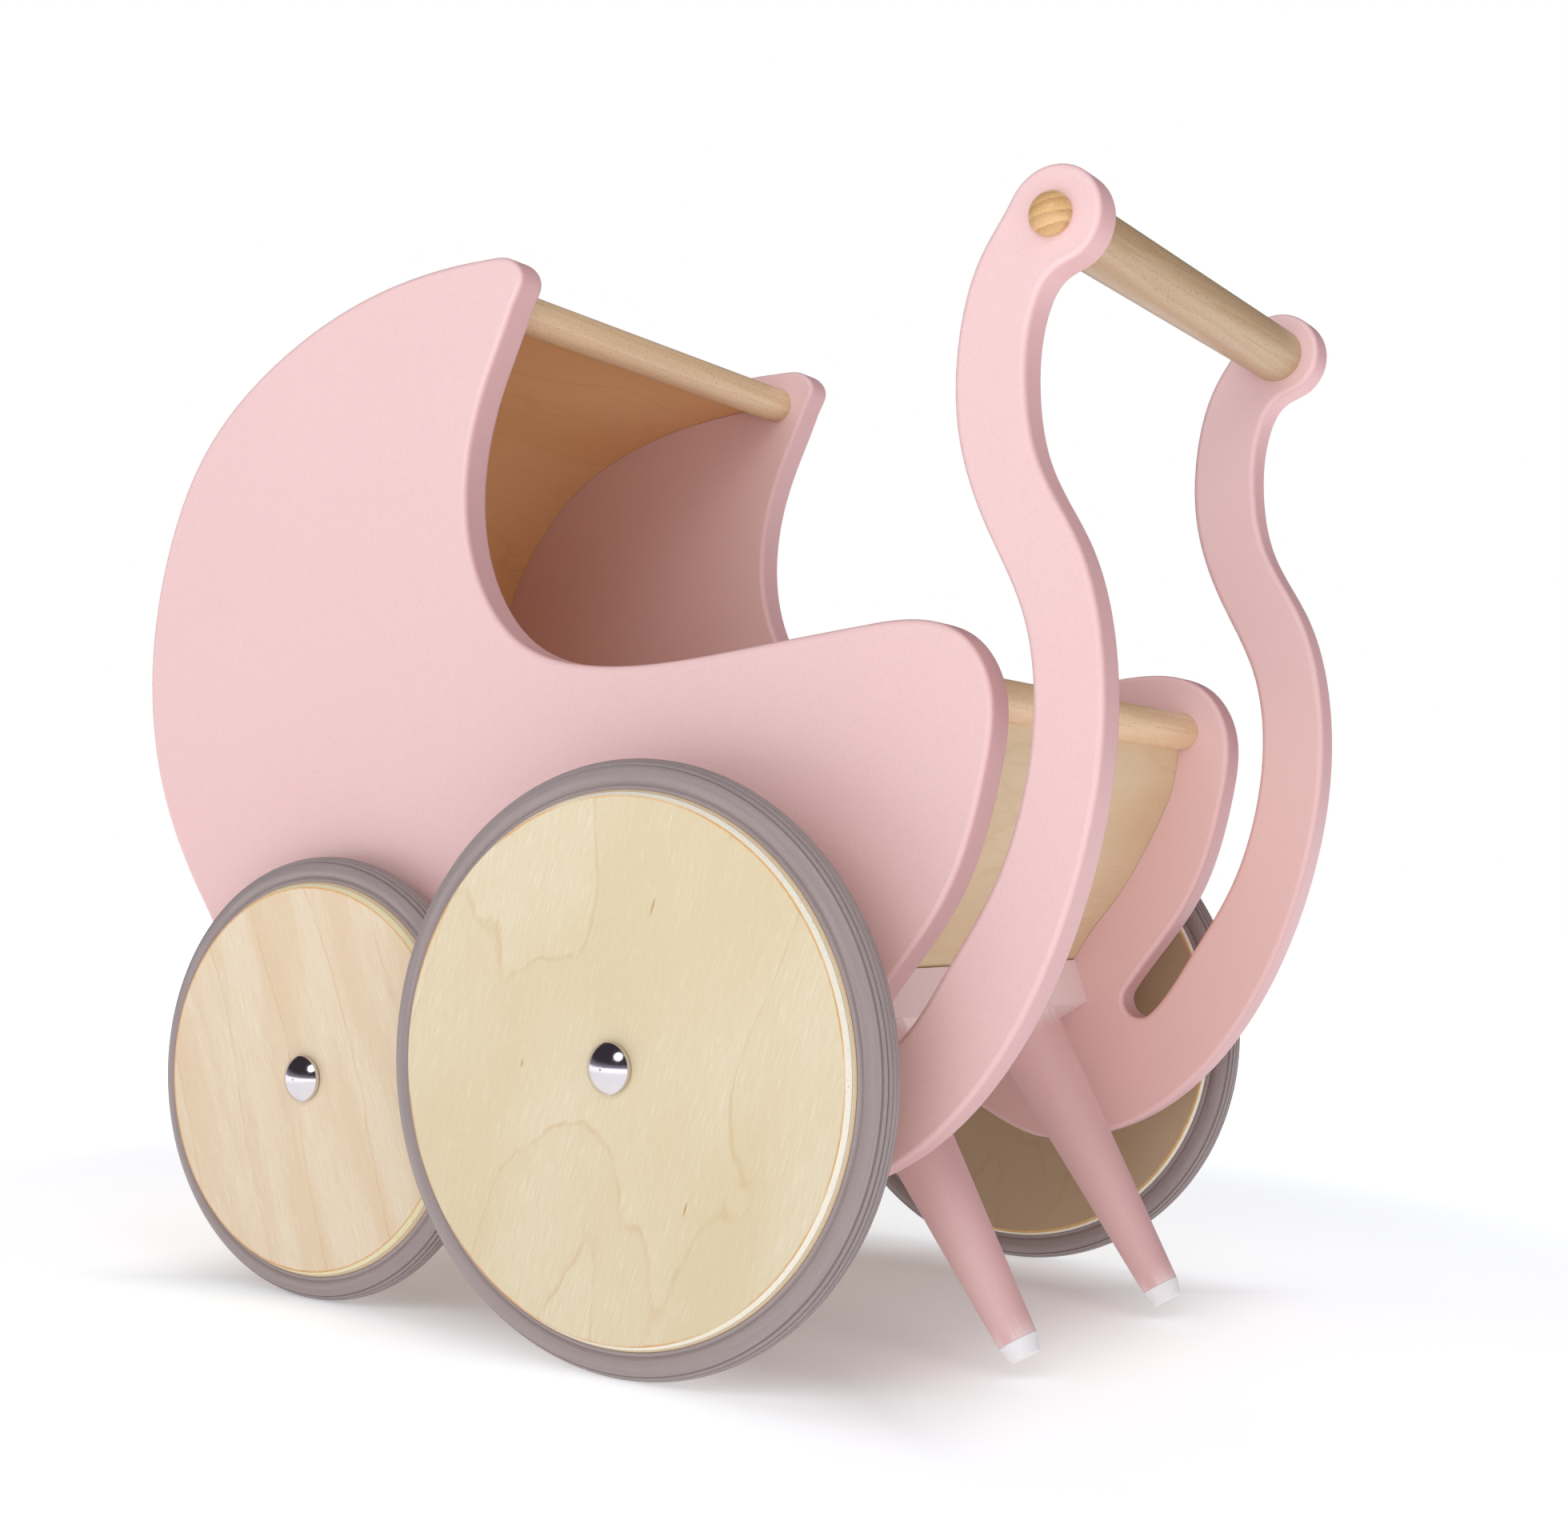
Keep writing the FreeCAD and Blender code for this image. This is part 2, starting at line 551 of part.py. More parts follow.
nodes.remove(beam)
beam.Label = "beam_blank"
bolt_holes = doc.addObject("Part::MultiFuse", "BoltHoles")
bolt_holes.Shapes = bolt_tool
drilled_beam = doc.addObject("Part::Cut", "cross_beam_drilled")
drilled_beam.Base = beam
drilled_beam.Tool = bolt_holes
drilled_beam.Label = "cross_beam"
nodes.append(drilled_beam)

pin_solids = []
for side_name, side in SIDES:
    for number, place in enumerate(PIN_PLACES, start=1):
        pin = doc.addObject("Part::Cylinder", "%sPin%d" % (side_name.title(), number))
        pin.setExpression("Radius", "Sizes.pin_radius")
        pin.setExpression("Height", "Sizes.pin_length")
        start_y = side * (size("panel_inner_y") + size("pin_in_panel"))
        pin.Placement = FreeCAD.Placement(V(place.x, start_y, place.z),
                                          FreeCAD.Rotation(V(1, 0, 0), 90 * side))
        pin_solids.append(pin)
beam_pins = doc.addObject("Part::Compound", "beam_pins")
beam_pins.Links = pin_solids
beam_pins.Label = "beam_pins"
nodes.append(beam_pins)


# ---------------------------------------------------------------- wheels
def tyre_profile(disc_radius, wheel_radius):
    """Return the tyre's section: side lips, fine grooves, round shoulders and a ribbed tread.

    The section's first coordinate is the radius and its second the height across the width.
    """
    low = size("disc_back_bevel") + 0.1
    top = low + size("tyre_width")
    middle = (low + top) / 2
    lip = 2.2
    gap = 0.6
    shoulder = wheel_radius - 0.7
    tread = size("tread_width")
    edges = []

    def line(start, end):
        edges.append(Part.LineSegment(V(*start, 0), V(*end, 0)))

    def half(way, height):
        """Return lip, groove and shoulder points on one side."""
        inside = disc_radius + lip
        return [(disc_radius, height), (inside, height), (inside + gap / 2, height - way * gap),
                (inside + gap, height)], (disc_radius + 8.2, height - way * 1.1)

    upper, upper_mid = half(1, top)
    lower, lower_mid = half(-1, low)
    line(lower[0], upper[0])
    for first, second in zip(upper, upper[1:]):
        line(first, second)
    tread_top = (shoulder, middle + tread / 2)
    tread_low = (shoulder, middle - tread / 2)
    edges.append(Part.Arc(V(*upper[-1], 0), V(*upper_mid, 0), V(*tread_top, 0)))
    ribs = int(size("tread_ribs"))
    pitch = tread / ribs
    last = tread_top
    for rib in range(ribs):
        rise = tread_top[1] - rib * pitch
        crown = wheel_radius - 0.35 * abs(2.0 * rib / (ribs - 1) - 1.0) ** 2
        for point in ((crown, rise - pitch * 0.18), (crown, rise - pitch * 0.72)):
            line(last, point)
            last = point
        valley = (crown - size("tread_groove"), rise - pitch * 0.95)
        if rib < ribs - 1:
            line(last, valley)
            last = valley
    line(last, tread_low)
    edges.append(Part.Arc(V(*tread_low, 0), V(*lower_mid, 0), V(*lower[-1], 0)))
    for first, second in zip(reversed(lower), list(reversed(lower))[1:]):
        line(first, second)
    return edges


def wheel(position, side_name, side):
    """Make one wheel's disc, tyre, hub bush, spacer and cap."""
    name = "%s_%s" % (position, side_name)
    disc = "Sizes.%s_disc_radius" % position
    x = size("%s_axle_x" % position)
    z = size("%s_wheel_radius" % position)
    y = size("%s_wheel_y" % position)
    hub = "Sizes.hub_radius"
    body = turned_piece(name + "_wheel_disc", [
        (hub, 0), (disc + " - Sizes.disc_back_bevel", 0), (disc, "Sizes.disc_back_bevel + 0.1"),
        (disc, "Sizes.disc_thick - Sizes.disc_proud"),
        (disc + " - Sizes.disc_bevel", "Sizes.disc_thick"), (hub, "Sizes.disc_thick"),
    ])
    place_along_y(body, x, y, z, side)

    tyre = new_body(name + "_tyre")
    sketch = new_sketch(tyre, "XY_Plane", "Profile")
    for edge in tyre_profile(sheet_value(disc), z):
        sketch.addGeometry(edge, False)
    revolve(tyre, sketch)
    place_along_y(tyre, x, y, z, side)

    bore = "Sizes.axle_radius + Sizes.running_play"
    bush = turned_piece(name + "_hub_bush", [
        (bore, 0), (hub, 0), (hub, "Sizes.disc_thick"), (bore, "Sizes.disc_thick"),
    ])
    place_along_y(bush, x, y, z, side)

    gap = size("wheel_gap")
    spacer_length = y - OUTER_Y - gap
    spacer = turned_piece(name + "_spacer", [
        (bore, 0), ("Sizes.spacer_radius", 0), ("Sizes.spacer_radius", spacer_length),
        (bore, spacer_length),
    ])
    place_along_y(spacer, x, OUTER_Y, z, side)

    cap = new_body(name + "_hub_cap")
    sketch = new_sketch(cap, "XY_Plane", "Profile")
    radius = size("cap_radius")
    rim = size("cap_rim")
    crest = rim + size("cap_dome")
    hole = sheet_value(bore)
    deep = AXLE_IN_CAP + 0.3
    for edge in (
        Part.LineSegment(V(hole, 0, 0), V(radius - 0.5, 0, 0)),
        Part.LineSegment(V(radius - 0.5, 0, 0), V(radius, 0.5, 0)),
        Part.LineSegment(V(radius, 0.5, 0), V(radius, rim, 0)),
        dome(radius, rim, crest),
        Part.LineSegment(V(0, crest, 0), V(0, deep, 0)),
        Part.LineSegment(V(0, deep, 0), V(hole, deep, 0)),
        Part.LineSegment(V(hole, deep, 0), V(hole, 0, 0)),
    ):
        sketch.addGeometry(edge, False)
    revolve(cap, sketch)
    place_along_y(cap, x, y + size("disc_thick") + gap, z, side)


AXLE_IN_CAP = 4.5
for position in ("rear", "front"):
    for side_name, side in SIDES:
        wheel(position, side_name, side)
    reach = size("%s_wheel_y" % position) + size("disc_thick") + size("wheel_gap") + AXLE_IN_CAP
    axle = turned_piece(position + "_axle", [
        (0, 0), (size("axle_radius") - 0.6, 0), ("Sizes.axle_radius", 0.6),
        ("Sizes.axle_radius", 2 * reach - 0.6), (size("axle_radius") - 0.6, 2 * reach),
        (0, 2 * reach),
    ])
    place_along_y(axle, size("%s_axle_x" % position), -reach,
                  size("%s_wheel_radius" % position), 1)

doc.recompute()

# ---------------------------------------------------------------- checks and export
for item in doc.Objects:
    if "Invalid" in item.State or "Error" in item.State:
        raise RuntimeError("%s did not compute: %s" % (item.Label, item.State))
os.makedirs("parts", exist_ok=True)
for node in nodes:
    if node.Shape.isNull() or not node.Shape.isValid():
        raise RuntimeError("%s has no valid shape" % node.Label)
    node.Shape.exportStep("parts/%s.step" % node.Label)
    box = node.Shape.BoundBox
    print("%-24s volume %9.0f  x %7.1f %7.1f  y %7.1f %7.1f  z %6.1f %6.1f" % (
        node.Label, node.Shape.Volume, box.XMin, box.XMax, box.YMin, box.YMax,
        box.ZMin, box.ZMax))
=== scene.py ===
"""Doll stroller: finishes, fine pieces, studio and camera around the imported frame."""
import logging
import math
from dataclasses import dataclass
from enum import Enum
from typing import Optional, Sequence

import bpy
from mathutils import Matrix, Vector


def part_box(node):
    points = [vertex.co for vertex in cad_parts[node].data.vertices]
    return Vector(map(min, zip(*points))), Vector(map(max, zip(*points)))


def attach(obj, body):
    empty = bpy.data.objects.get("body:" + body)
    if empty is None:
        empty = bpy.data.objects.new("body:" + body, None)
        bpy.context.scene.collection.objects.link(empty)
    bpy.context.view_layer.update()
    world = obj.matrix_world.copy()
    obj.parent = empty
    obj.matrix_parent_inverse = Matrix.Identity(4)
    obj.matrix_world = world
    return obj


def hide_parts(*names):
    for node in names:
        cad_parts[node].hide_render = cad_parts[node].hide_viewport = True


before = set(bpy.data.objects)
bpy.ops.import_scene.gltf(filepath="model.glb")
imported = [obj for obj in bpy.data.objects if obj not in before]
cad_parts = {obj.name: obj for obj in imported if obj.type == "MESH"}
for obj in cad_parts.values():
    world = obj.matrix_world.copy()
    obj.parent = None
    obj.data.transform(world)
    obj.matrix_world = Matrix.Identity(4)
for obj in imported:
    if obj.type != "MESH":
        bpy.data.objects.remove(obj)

log = logging.getLogger("doll_stroller")
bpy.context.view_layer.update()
MM = 0.001
MM_PER_METRE = 1000.0
Colour = tuple[float, float, float]
# the scales along three axes
Pull = tuple[float, float, float]
# where a value's range starts and ends, and then, unless it is 0 to 1, the results there
Span = tuple[float, ...]
Socket = bpy.types.NodeSocket


class Side(Enum):
    """A side of the stroller, as seen by the person pushing it."""

    LEFT = -1
    RIGHT = 1

    @property
    def word(self) -> str:
        """Return the side's name as the nodes use it."""
        return self.name.lower()


class Axle(Enum):
    """The two axles, front and rear."""

    FRONT = "front"
    REAR = "rear"


def display(red: int, green: int, blue: int) -> Colour:
    """Turn a colour given in display steps of 0 to 255 to linear light, by the sRGB curve.

    Args:
        red: The red step.
        green: The green step.
        blue: The blue step.

    Returns:
        The colour in linear light.
    """
    def straight(step: int) -> float:
        """Return one step in linear light."""
        part = step / 255.0
        return part / 12.92 if part <= 0.04045 else ((part + 0.055) / 1.055) ** 2.4
    return (straight(red), straight(green), straight(blue))


class Shader:
    """A material under construction, with short calls for its nodes."""

    def __init__(self, name: str) -> None:
        """Start an empty material with a principled surface.

        Args:
            name: The material's name.
        """
        self.material = bpy.data.materials.new(name)
        self.material.use_nodes = True
        self.tree = self.material.node_tree
        self.surface = self.tree.nodes["Principled BSDF"]
        coordinates = self.tree.nodes.new("ShaderNodeTexCoord")
        self.place = coordinates.outputs["Object"]

    def put(self, node: bpy.types.Node, name: str, value: object) -> None:
        """Give a node's input a value, or link it to a socket.

        Args:
            node: The node.
            name: The input's name, or its number as text.
            value: A socket to link, or a plain value.
        """
        target = node.inputs[int(name)] if name.isdigit() else node.inputs[name]
        if isinstance(value, bpy.types.NodeSocket):
            self.tree.links.new(value, target)
        elif isinstance(value, tuple) and len(value) == 3 and target.type == "RGBA":
            target.default_value = (*value, 1.0)
        else:
            target.default_value = value

    def mapped(self, scale: Sequence[float], at: Sequence[float] = (0, 0, 0),
               turn: Sequence[float] = (0, 0, 0)) -> Socket:
        """Return object coordinates moved, turned in degrees and scaled.

        Args:
            scale: The scale along each axis, applied last.
            at: The point in metres that becomes the origin.
            turn: The turn about each axis, in degrees.

        Returns:
            The mapped coordinates.
        """
        shift = self.tree.nodes.new("ShaderNodeVectorMath")
        shift.operation = "SUBTRACT"
        self.put(shift, "0", self.place)
        self.put(shift, "1", tuple(at))
        rotate = self.tree.nodes.new("ShaderNodeMapping")
        self.put(rotate, "Vector", shift.outputs[0])
        self.put(rotate, "Rotation", tuple(math.radians(angle) for angle in turn))
        stretch = self.tree.nodes.new("ShaderNodeVectorMath")
        stretch.operation = "MULTIPLY"
        self.put(stretch, "0", rotate.outputs[0])
        self.put(stretch, "1", tuple(scale))
        return stretch.outputs[0]

    def millimetres(self, at: Sequence[float] = (0, 0, 0),
                    turn: Sequence[float] = (0, 0, 0)) -> Socket:
        """Return object coordinates in millimetres.

        Args:
            at: The point in metres that becomes the origin.
            turn: The turn about each axis, in degrees.

        Returns:
            The coordinates.
        """
        return self.mapped((MM_PER_METRE,) * 3, at, turn)

    def noise(self, at: Socket, scale: float = 1.0, detail: float = 3.0,
              rough: float = 0.5) -> Socket:
        """Return a noise value from 0 to 1.

        Args:
            at: The coordinates.
            scale: The noise's scale.
            detail: The number of finer layers.
            rough: The strength of the finer layers.

        Returns:
            The noise value.
        """
        node = self.tree.nodes.new("ShaderNodeTexNoise")
        self.put(node, "Vector", at)
        self.put(node, "Scale", scale)
        self.put(node, "Detail", detail)
        self.put(node, "Roughness", rough)
        return node.outputs["Fac"]

    def pulled_noise(self, at: Sequence[object], pull: Pull, detail: float = 2.0,
                     rough: float = 0.5) -> Socket:
        """Return a noise value that is pulled long where its scale is small.

        Args:
            at: The three parts of the place, in millimetres.
            pull: The scale along each part.
            detail: The number of finer layers.
            rough: The strength of the finer layers.

        Returns:
            The noise value.
        """
        node = self.tree.nodes.new("ShaderNodeCombineXYZ")
        for number, (part, scale) in enumerate(zip(at, pull)):
            self.put(node, str(number), self.math("MULTIPLY", part, scale))
        return self.noise(node.outputs[0], detail=detail, rough=rough)

    def math(self, kind: str, first: object, second: object = 0.0) -> Socket:
        """Return a sum, product or other function of two values.

        Args:
            kind: The operation, as Blender names it.
            first: The first value or socket.
            second: The second value or socket.

        Returns:
            The result.
        """
        node = self.tree.nodes.new("ShaderNodeMath")
        node.operation = kind
        self.put(node, "0", first)
        self.put(node, "1", second)
        return node.outputs[0]

    def reach(self, x: Socket, z: Socket) -> Socket:
        """Return the distance from the middle of a wheel.

        Args:
            x: The place along the stroller.
            z: The height.

        Returns:
            The distance.
        """
        return self.math("SQRT", self.math("ADD", self.math("MULTIPLY", x, x),
                                           self.math("MULTIPLY", z, z)))

    def window(self, value: Socket, low: float, high: float, out_low: float = 0.0,
               out_high: float = 1.0) -> Socket:
        """Return a value stretched smoothly from one range to another, and held in it.

        Args:
            value: The value.
            low: Where the range starts.
            high: Where the range ends.
            out_low: The result at the start.
            out_high: The result at the end.

        Returns:
            The stretched value.
        """
        node = self.tree.nodes.new("ShaderNodeMapRange")
        node.interpolation_type = "SMOOTHSTEP"
        for name, number in (("From Min", low), ("From Max", high),
                             ("To Min", out_low), ("To Max", out_high)):
            self.put(node, name, number)
        self.put(node, "Value", value)
        return node.outputs["Result"]

    def ramp(self, value: Socket, stops: Sequence[tuple[float, Colour]]) -> Socket:
        """Return a colour from a ramp.

        Args:
            value: The position on the ramp.
            stops: Each stop's position and colour.

        Returns:
            The colour.
        """
        node = self.tree.nodes.new("ShaderNodeValToRGB")
        elements = node.color_ramp.elements
        while len(elements) < len(stops):
            elements.new(0.5)
        for element, (position, colour) in zip(elements, stops):
            element.position = position
            element.color = (*colour, 1.0)
        self.put(node, "Fac", value)
        return node.outputs["Color"]

    def mix(self, share: object, first: object, second: object) -> Socket:
        """Return two colours mixed.

        Args:
            share: How much of the second colour.
            first: The first colour.
            second: The second colour.

        Returns:
            The mixed colour.
        """
        node = self.tree.nodes.new("ShaderNodeMix")
        node.data_type = "RGBA"
        self.put(node, "0", share)
        self.put(node, "6", first)
        self.put(node, "7", second)
        return node.outputs[2]

    def axes(self, at: Optional[Socket] = None) -> tuple[Socket, Socket, Socket]:
        """Return the three parts of a coordinate.

        Args:
            at: The coordinate, or the object's own.

        Returns:
            The three parts.
        """
        node = self.tree.nodes.new("ShaderNodeSeparateXYZ")
        self.put(node, "0", at or self.place)
        return node.outputs[0], node.outputs[1], node.outputs[2]

    def pointiness(self) -> Socket:
        """Return how sharply the surface bends outwards, about 0.5 where it is flat."""
        return self.tree.nodes.new("ShaderNodeNewGeometry").outputs["Pointiness"]

    def facing_side(self) -> Socket:
        """Return 1 where the surface faces left or right, and 0 where it is a cut edge.

        Returns:
            The share of the normal that points across.
        """
        node = self.tree.nodes.new("ShaderNodeTexCoord")
        _, across, _ = self.axes(node.outputs["Normal"])
        return self.math("ABSOLUTE", across)

    def bump(self, height: Socket, depth_mm: float, below: Optional[Socket] = None) -> Socket:
        """Return a normal bent by a height.

        Args:
            height: The height from 0 to 1.
            depth_mm: The relief's depth in millimetres.
            below: The normal of the relief underneath.

        Returns:
            The bent normal.
        """
        node = self.tree.nodes.new("ShaderNodeBump")
        self.put(node, "Height", height)
        self.put(node, "Distance", depth_mm * MM)
        if below is not None:
            self.put(node, "Normal", below)
        return node.outputs["Normal"]

    def finish(self, colour: object, rough: object, normal: Optional[Socket] = None,
               **constants: object) -> bpy.types.Material:
        """Connect the surface and return the material.

        Args:
            colour: The base colour.
            rough: The roughness.
            normal: The bent normal, or none on a flat surface.
            constants: Values for other inputs, with _ for a space.

        Returns:
            The finished material.
        """
        self.put(self.surface, "Base Color", colour)
        self.put(self.surface, "Roughness", rough)
        if normal is not None:
            self.put(self.surface, "Normal", normal)
        for name, value in constants.items():
            self.put(self.surface, name.replace("_", " "), value)
        return self.material


@dataclass(frozen=True)
class SatinPaint:
    """Sprayed satin lacquer over board, with faint orange peel, a painted highlight along the
    rounded edges, and painted shade on the cut edges and low down.
    """

    name: str = "satin_pink_lacquer"
    colour: Colour = display(239, 203, 202)
    # Painted shade low down: the colour the lacquer turns to towards the bottom, warmer on the
    # panels and darker on the beam and legs.
    low_colour: Colour = display(241, 200, 197)
    speckle: Colour = display(224, 180, 180)
    # Painted highlight: the paler colour on the sharp rounded edges.
    rubbed: Colour = display(252, 232, 230)
    # Painted shade: the deeper colour on the cut edges.
    soaked: Colour = display(222, 172, 173)
    fade_up: Span = (0.10, 0.42)
    cloud_scale: float = 9.0
    clouded: Span = (0.3, 0.7, 0.0, 0.3)
    speck_scale: float = 1.1
    speck_rough: float = 0.65
    specked: Span = (0.38, 0.68, 0.0, 0.24)
    soaked_in: Span = (0.25, 0.92, 0.75, 0.0)
    worn_edge: Span = (0.525, 0.60)
    off_the_face: Span = (0.93, 0.995, 0.8, 0.0)
    roughness: Span = (0.3, 0.7, 0.39, 0.49)
    peel_scale: float = 0.55
    peel_rough: float = 0.45
    peel_mm: float = 0.016
    speck_mm: float = 0.008
    coat: float = 0.1
    coat_roughness: float = 0.3
    specular: float = 0.45

    def material(self) -> bpy.types.Material:
        """Build the lacquer.

        Returns:
            The lacquer.
        """
        s = Shader(self.name)
        _, _, height = s.axes()
        fine = s.millimetres()
        cloud = s.noise(s.place, self.cloud_scale, detail=2.0)
        # Painted shade: towards the bottom the lacquer turns to the low colour.
        base = s.mix(s.window(height, *self.fade_up), self.low_colour, self.colour)
        base = s.mix(s.window(cloud, *self.clouded), base, self.colour)
        speck = s.noise(fine, self.speck_scale, rough=self.speck_rough)
        base = s.mix(s.window(speck, *self.specked), base, self.speckle)
        # Painted shade: the cut edges, whose normals point along the stroller, take the deeper
        # edge colour.
        sideways = s.facing_side()
        base = s.mix(s.window(sideways, *self.soaked_in), base, self.soaked)
        # Painted highlight: sharp rounded edges, away from the faces, turn paler.
        lightened = s.math("MULTIPLY", s.window(s.pointiness(), *self.worn_edge),
                      s.window(sideways, *self.off_the_face))
        base = s.mix(lightened, base, self.rubbed)
        peel = s.noise(fine, self.peel_scale, detail=2.0, rough=self.peel_rough)
        normal = s.bump(speck, self.speck_mm, s.bump(peel, self.peel_mm))
        return s.finish(base, s.window(cloud, *self.roughness), normal, Coat_Weight=self.coat,
                        Coat_Roughness=self.coat_roughness, Specular_IOR_Level=self.specular)


@dataclass(frozen=True)
class WheelVeneer:
    """Birch plywood cut to a disc: fine fibres, faint figure, scorched line, layered rim, and
    painted shade on the inner face.

    The figure is a slow field pulled long by the grain. Its contour lines are the faint
    year rings. Drift is how fast the field climbs across the grain, so a larger drift
    makes straighter and closer rings. Each noise is cut at a depth of its own, so that no
    two look alike. Places and sizes are in millimetres, but the centre is in metres.
    """

    name: str
    centre: tuple[float, float, float]
    face_radius: float
    face_y: float
    pale: Colour
    deep: Colour
    ring: Colour
    edge: Colour
    slant: float
    swing: float
    drift: float
    bands: float
    scorch_low: float
    way: int
    flecks: tuple[tuple[float, float, float], ...] = ()
    silk_colour: Colour = display(246, 238, 218)
    fleck_colour: Colour = display(184, 130, 66)
    # Painted shade: the colour of the disc's inner face.
    inside: Colour = display(166, 132, 98)
    scorched: Colour = display(216, 150, 74)
    glue: Colour = display(196, 158, 112)
    chipped: Colour = display(150, 110, 72)
    streak_pull: Pull = (1.0, 1.0, 0.075)
    silk_pull: Pull = (3.0, 1.0, 0.2)
    broad_pull: Pull = (0.013, 1.0, 0.0052)
    jag_pull: Pull = (0.11, 1.0, 0.05)
    patch_along: float = 0.007
    jag_share: float = 0.10
    line_width: Span = (0.0, 0.026, 1.0, 0.0)
    line_breaks: Span = (0.36, 0.62, 0.3, 1.0)
    line_share: float = 0.34
    beside_rise: Span = (0.48, 0.5)
    beside_fall: Span = (0.5, 0.95, 1.0, 0.0)
    beside_share: float = 0.06
    fleck_half: float = 0.6
    fleck_fade: Span = (0.1, 1.0, 0.7, 0.0)
    patched: Span = (0.34, 0.66)
    streak_deep: Span = (0.38, 0.66, 0.0, 0.6)
    streak_pale: Span = (0.26, 0.46, 0.36, 0.0)
    silky: Span = (0.50, 0.72, 0.0, 0.16)
    outward: Span = (-4.0, 4.0)
    inside_share: Span = (0.0, 1.0, 0.6, 0.0)
    ragged_scale: float = 260.0
    ragged_mm: float = 0.9
    layer_wobble: float = 0.22
    scorch_scale: float = 22.0
    scorch_reach: tuple[float, float] = (1.1, 0.3)
    scorch_high: float = 0.85
    scorch_breaks: Span = (0.36, 0.62)
    thickness: float = 21.0
    cut_scale: Pull = (900.0, 1400.0, 900.0)
    glued: Span = (0.5, 0.76, 0.0, 0.22)
    rim_start: tuple[float, float] = (0.3, 0.15)
    chips: Span = (0.66, 0.74, 0.0, 0.5)
    streak_relief: float = 0.6
    silk_relief: float = 0.4
    line_sunk: float = 0.3
    grain_mm: float = 0.03
    cut_mm: float = 0.14
    roughness: Span = (0.3, 0.7, 0.46, 0.6)
    coat: float = 0.06
    coat_roughness: float = 0.35

    def figure(self, s: Shader, x: Socket, z: Socket) -> tuple[Socket, Socket]:
        """Return the year rings as thin lines, and the darker wood beside each.

        Args:
            s: The material under construction.
            x: The place across the grain.
            z: The place along the grain.

        Returns:
            The lines, and the wood beside them, both from 0 to 1.
        """
        broad = s.pulled_noise((x, 0.0, z), self.broad_pull, detail=1.5, rough=0.4)
        jag = s.pulled_noise((x, 3.0, z), self.jag_pull, rough=0.55)
        slow = s.math("ADD", s.math("MULTIPLY", broad, self.swing),
                      s.math("MULTIPLY", jag, self.jag_share))
        turns = s.math("FRACT", s.math("ADD", slow, s.math("MULTIPLY", x, self.drift)))
        gap = s.math("ABSOLUTE", s.math("SUBTRACT", turns, 0.5))
        line = s.math("MULTIPLY", s.window(gap, *self.line_width),
                      s.window(jag, *self.line_breaks))
        beside = s.math("MULTIPLY", s.window(turns, *self.beside_rise),
                        s.window(turns, *self.beside_fall))
        return line, beside

    def fleck(self, s: Shader, x: Socket, z: Socket,
              spot: tuple[float, float, float]) -> Socket:
        """Return one small dark pin fleck that lies along the grain.

        Args:
            s: The material under construction.
            x: The place across the grain.
            z: The place along the grain.
            spot: Where the fleck is, across and along, and its length.

        Returns:
            The fleck, from 0 to 1.
        """
        across, along, length = spot
        wide = s.math("DIVIDE", s.math("SUBTRACT", x, across), self.fleck_half)
        long = s.math("DIVIDE", s.math("SUBTRACT", z, along), length / 2)
        away = s.math("ADD", s.math("MULTIPLY", wide, wide), s.math("MULTIPLY", long, long))
        return s.window(away, *self.fleck_fade)

    def face(self, s: Shader, x: Socket, z: Socket, streak: Socket, silk: Socket,
             line: Socket, beside: Socket) -> Socket:
        """Return the colour of the disc's two faces.

        Args:
            s: The material under construction.
            x: The place across the grain.
            z: The place along the grain.
            streak: The long fibres.
            silk: The short silk flecks.
            line: The year rings.
            beside: The darker wood beside them.

        Returns:
            The colour.
        """
        patch = s.pulled_noise((x, 5.0, z), (self.bands, 1.0, self.patch_along))
        face = s.mix(s.window(patch, *self.patched), self.pale, self.deep)
        face = s.mix(s.window(streak, *self.streak_deep), face, self.deep)
        face = s.mix(s.window(streak, *self.streak_pale), face, self.silk_colour)
        face = s.mix(s.window(silk, *self.silky), face, self.silk_colour)
        face = s.mix(s.math("MULTIPLY", beside, self.beside_share), face, self.ring)
        face = s.mix(s.math("MULTIPLY", line, self.line_share), face, self.ring)
        for spot in self.flecks:
            face = s.mix(self.fleck(s, x, z, spot), face, self.fleck_colour)
        return face

    def layers(self, s: Shader, down: Socket) -> Socket:
        """Return the colour of the plies and glue lines down the rim.

        Args:
            s: The material under construction.
            down: The depth under the outer face.

        Returns:
            The colour.
        """
        return s.ramp(s.math("DIVIDE", down, self.thickness), [
            (0.0, display(232, 190, 124)), (0.008, self.edge), (0.112, self.edge),
            (0.120, display(176, 158, 138)), (0.132, display(234, 214, 184)),
            (0.200, display(222, 194, 152)), (0.208, display(120, 88, 58)),
            (0.220, display(238, 222, 190)), (0.300, display(230, 208, 170)),
            (0.308, display(124, 92, 62)), (0.320, display(208, 172, 124)),
            (1.0, display(204, 168, 120)),
        ])

    def material(self) -> bpy.types.Material:
        """Build the plywood.

        Returns:
            The plywood.
        """
        s = Shader(self.name)
        x, y, z = s.axes(s.millimetres(self.centre, (0, self.slant, 0)))
        streak = s.pulled_noise((x, 7.0, z), self.streak_pull, detail=4.0, rough=0.62)
        silk = s.pulled_noise((x, 1.0, z), self.silk_pull)
        line, beside = self.figure(s, x, z)
        face = self.face(s, x, z, streak, silk, line, beside)
        outward = s.window(s.math("MULTIPLY", y, float(self.way)), *self.outward)
        # Painted shade: the inner face, towards the stroller, turns darker.
        face = s.mix(s.window(outward, *self.inside_share), face, self.inside)
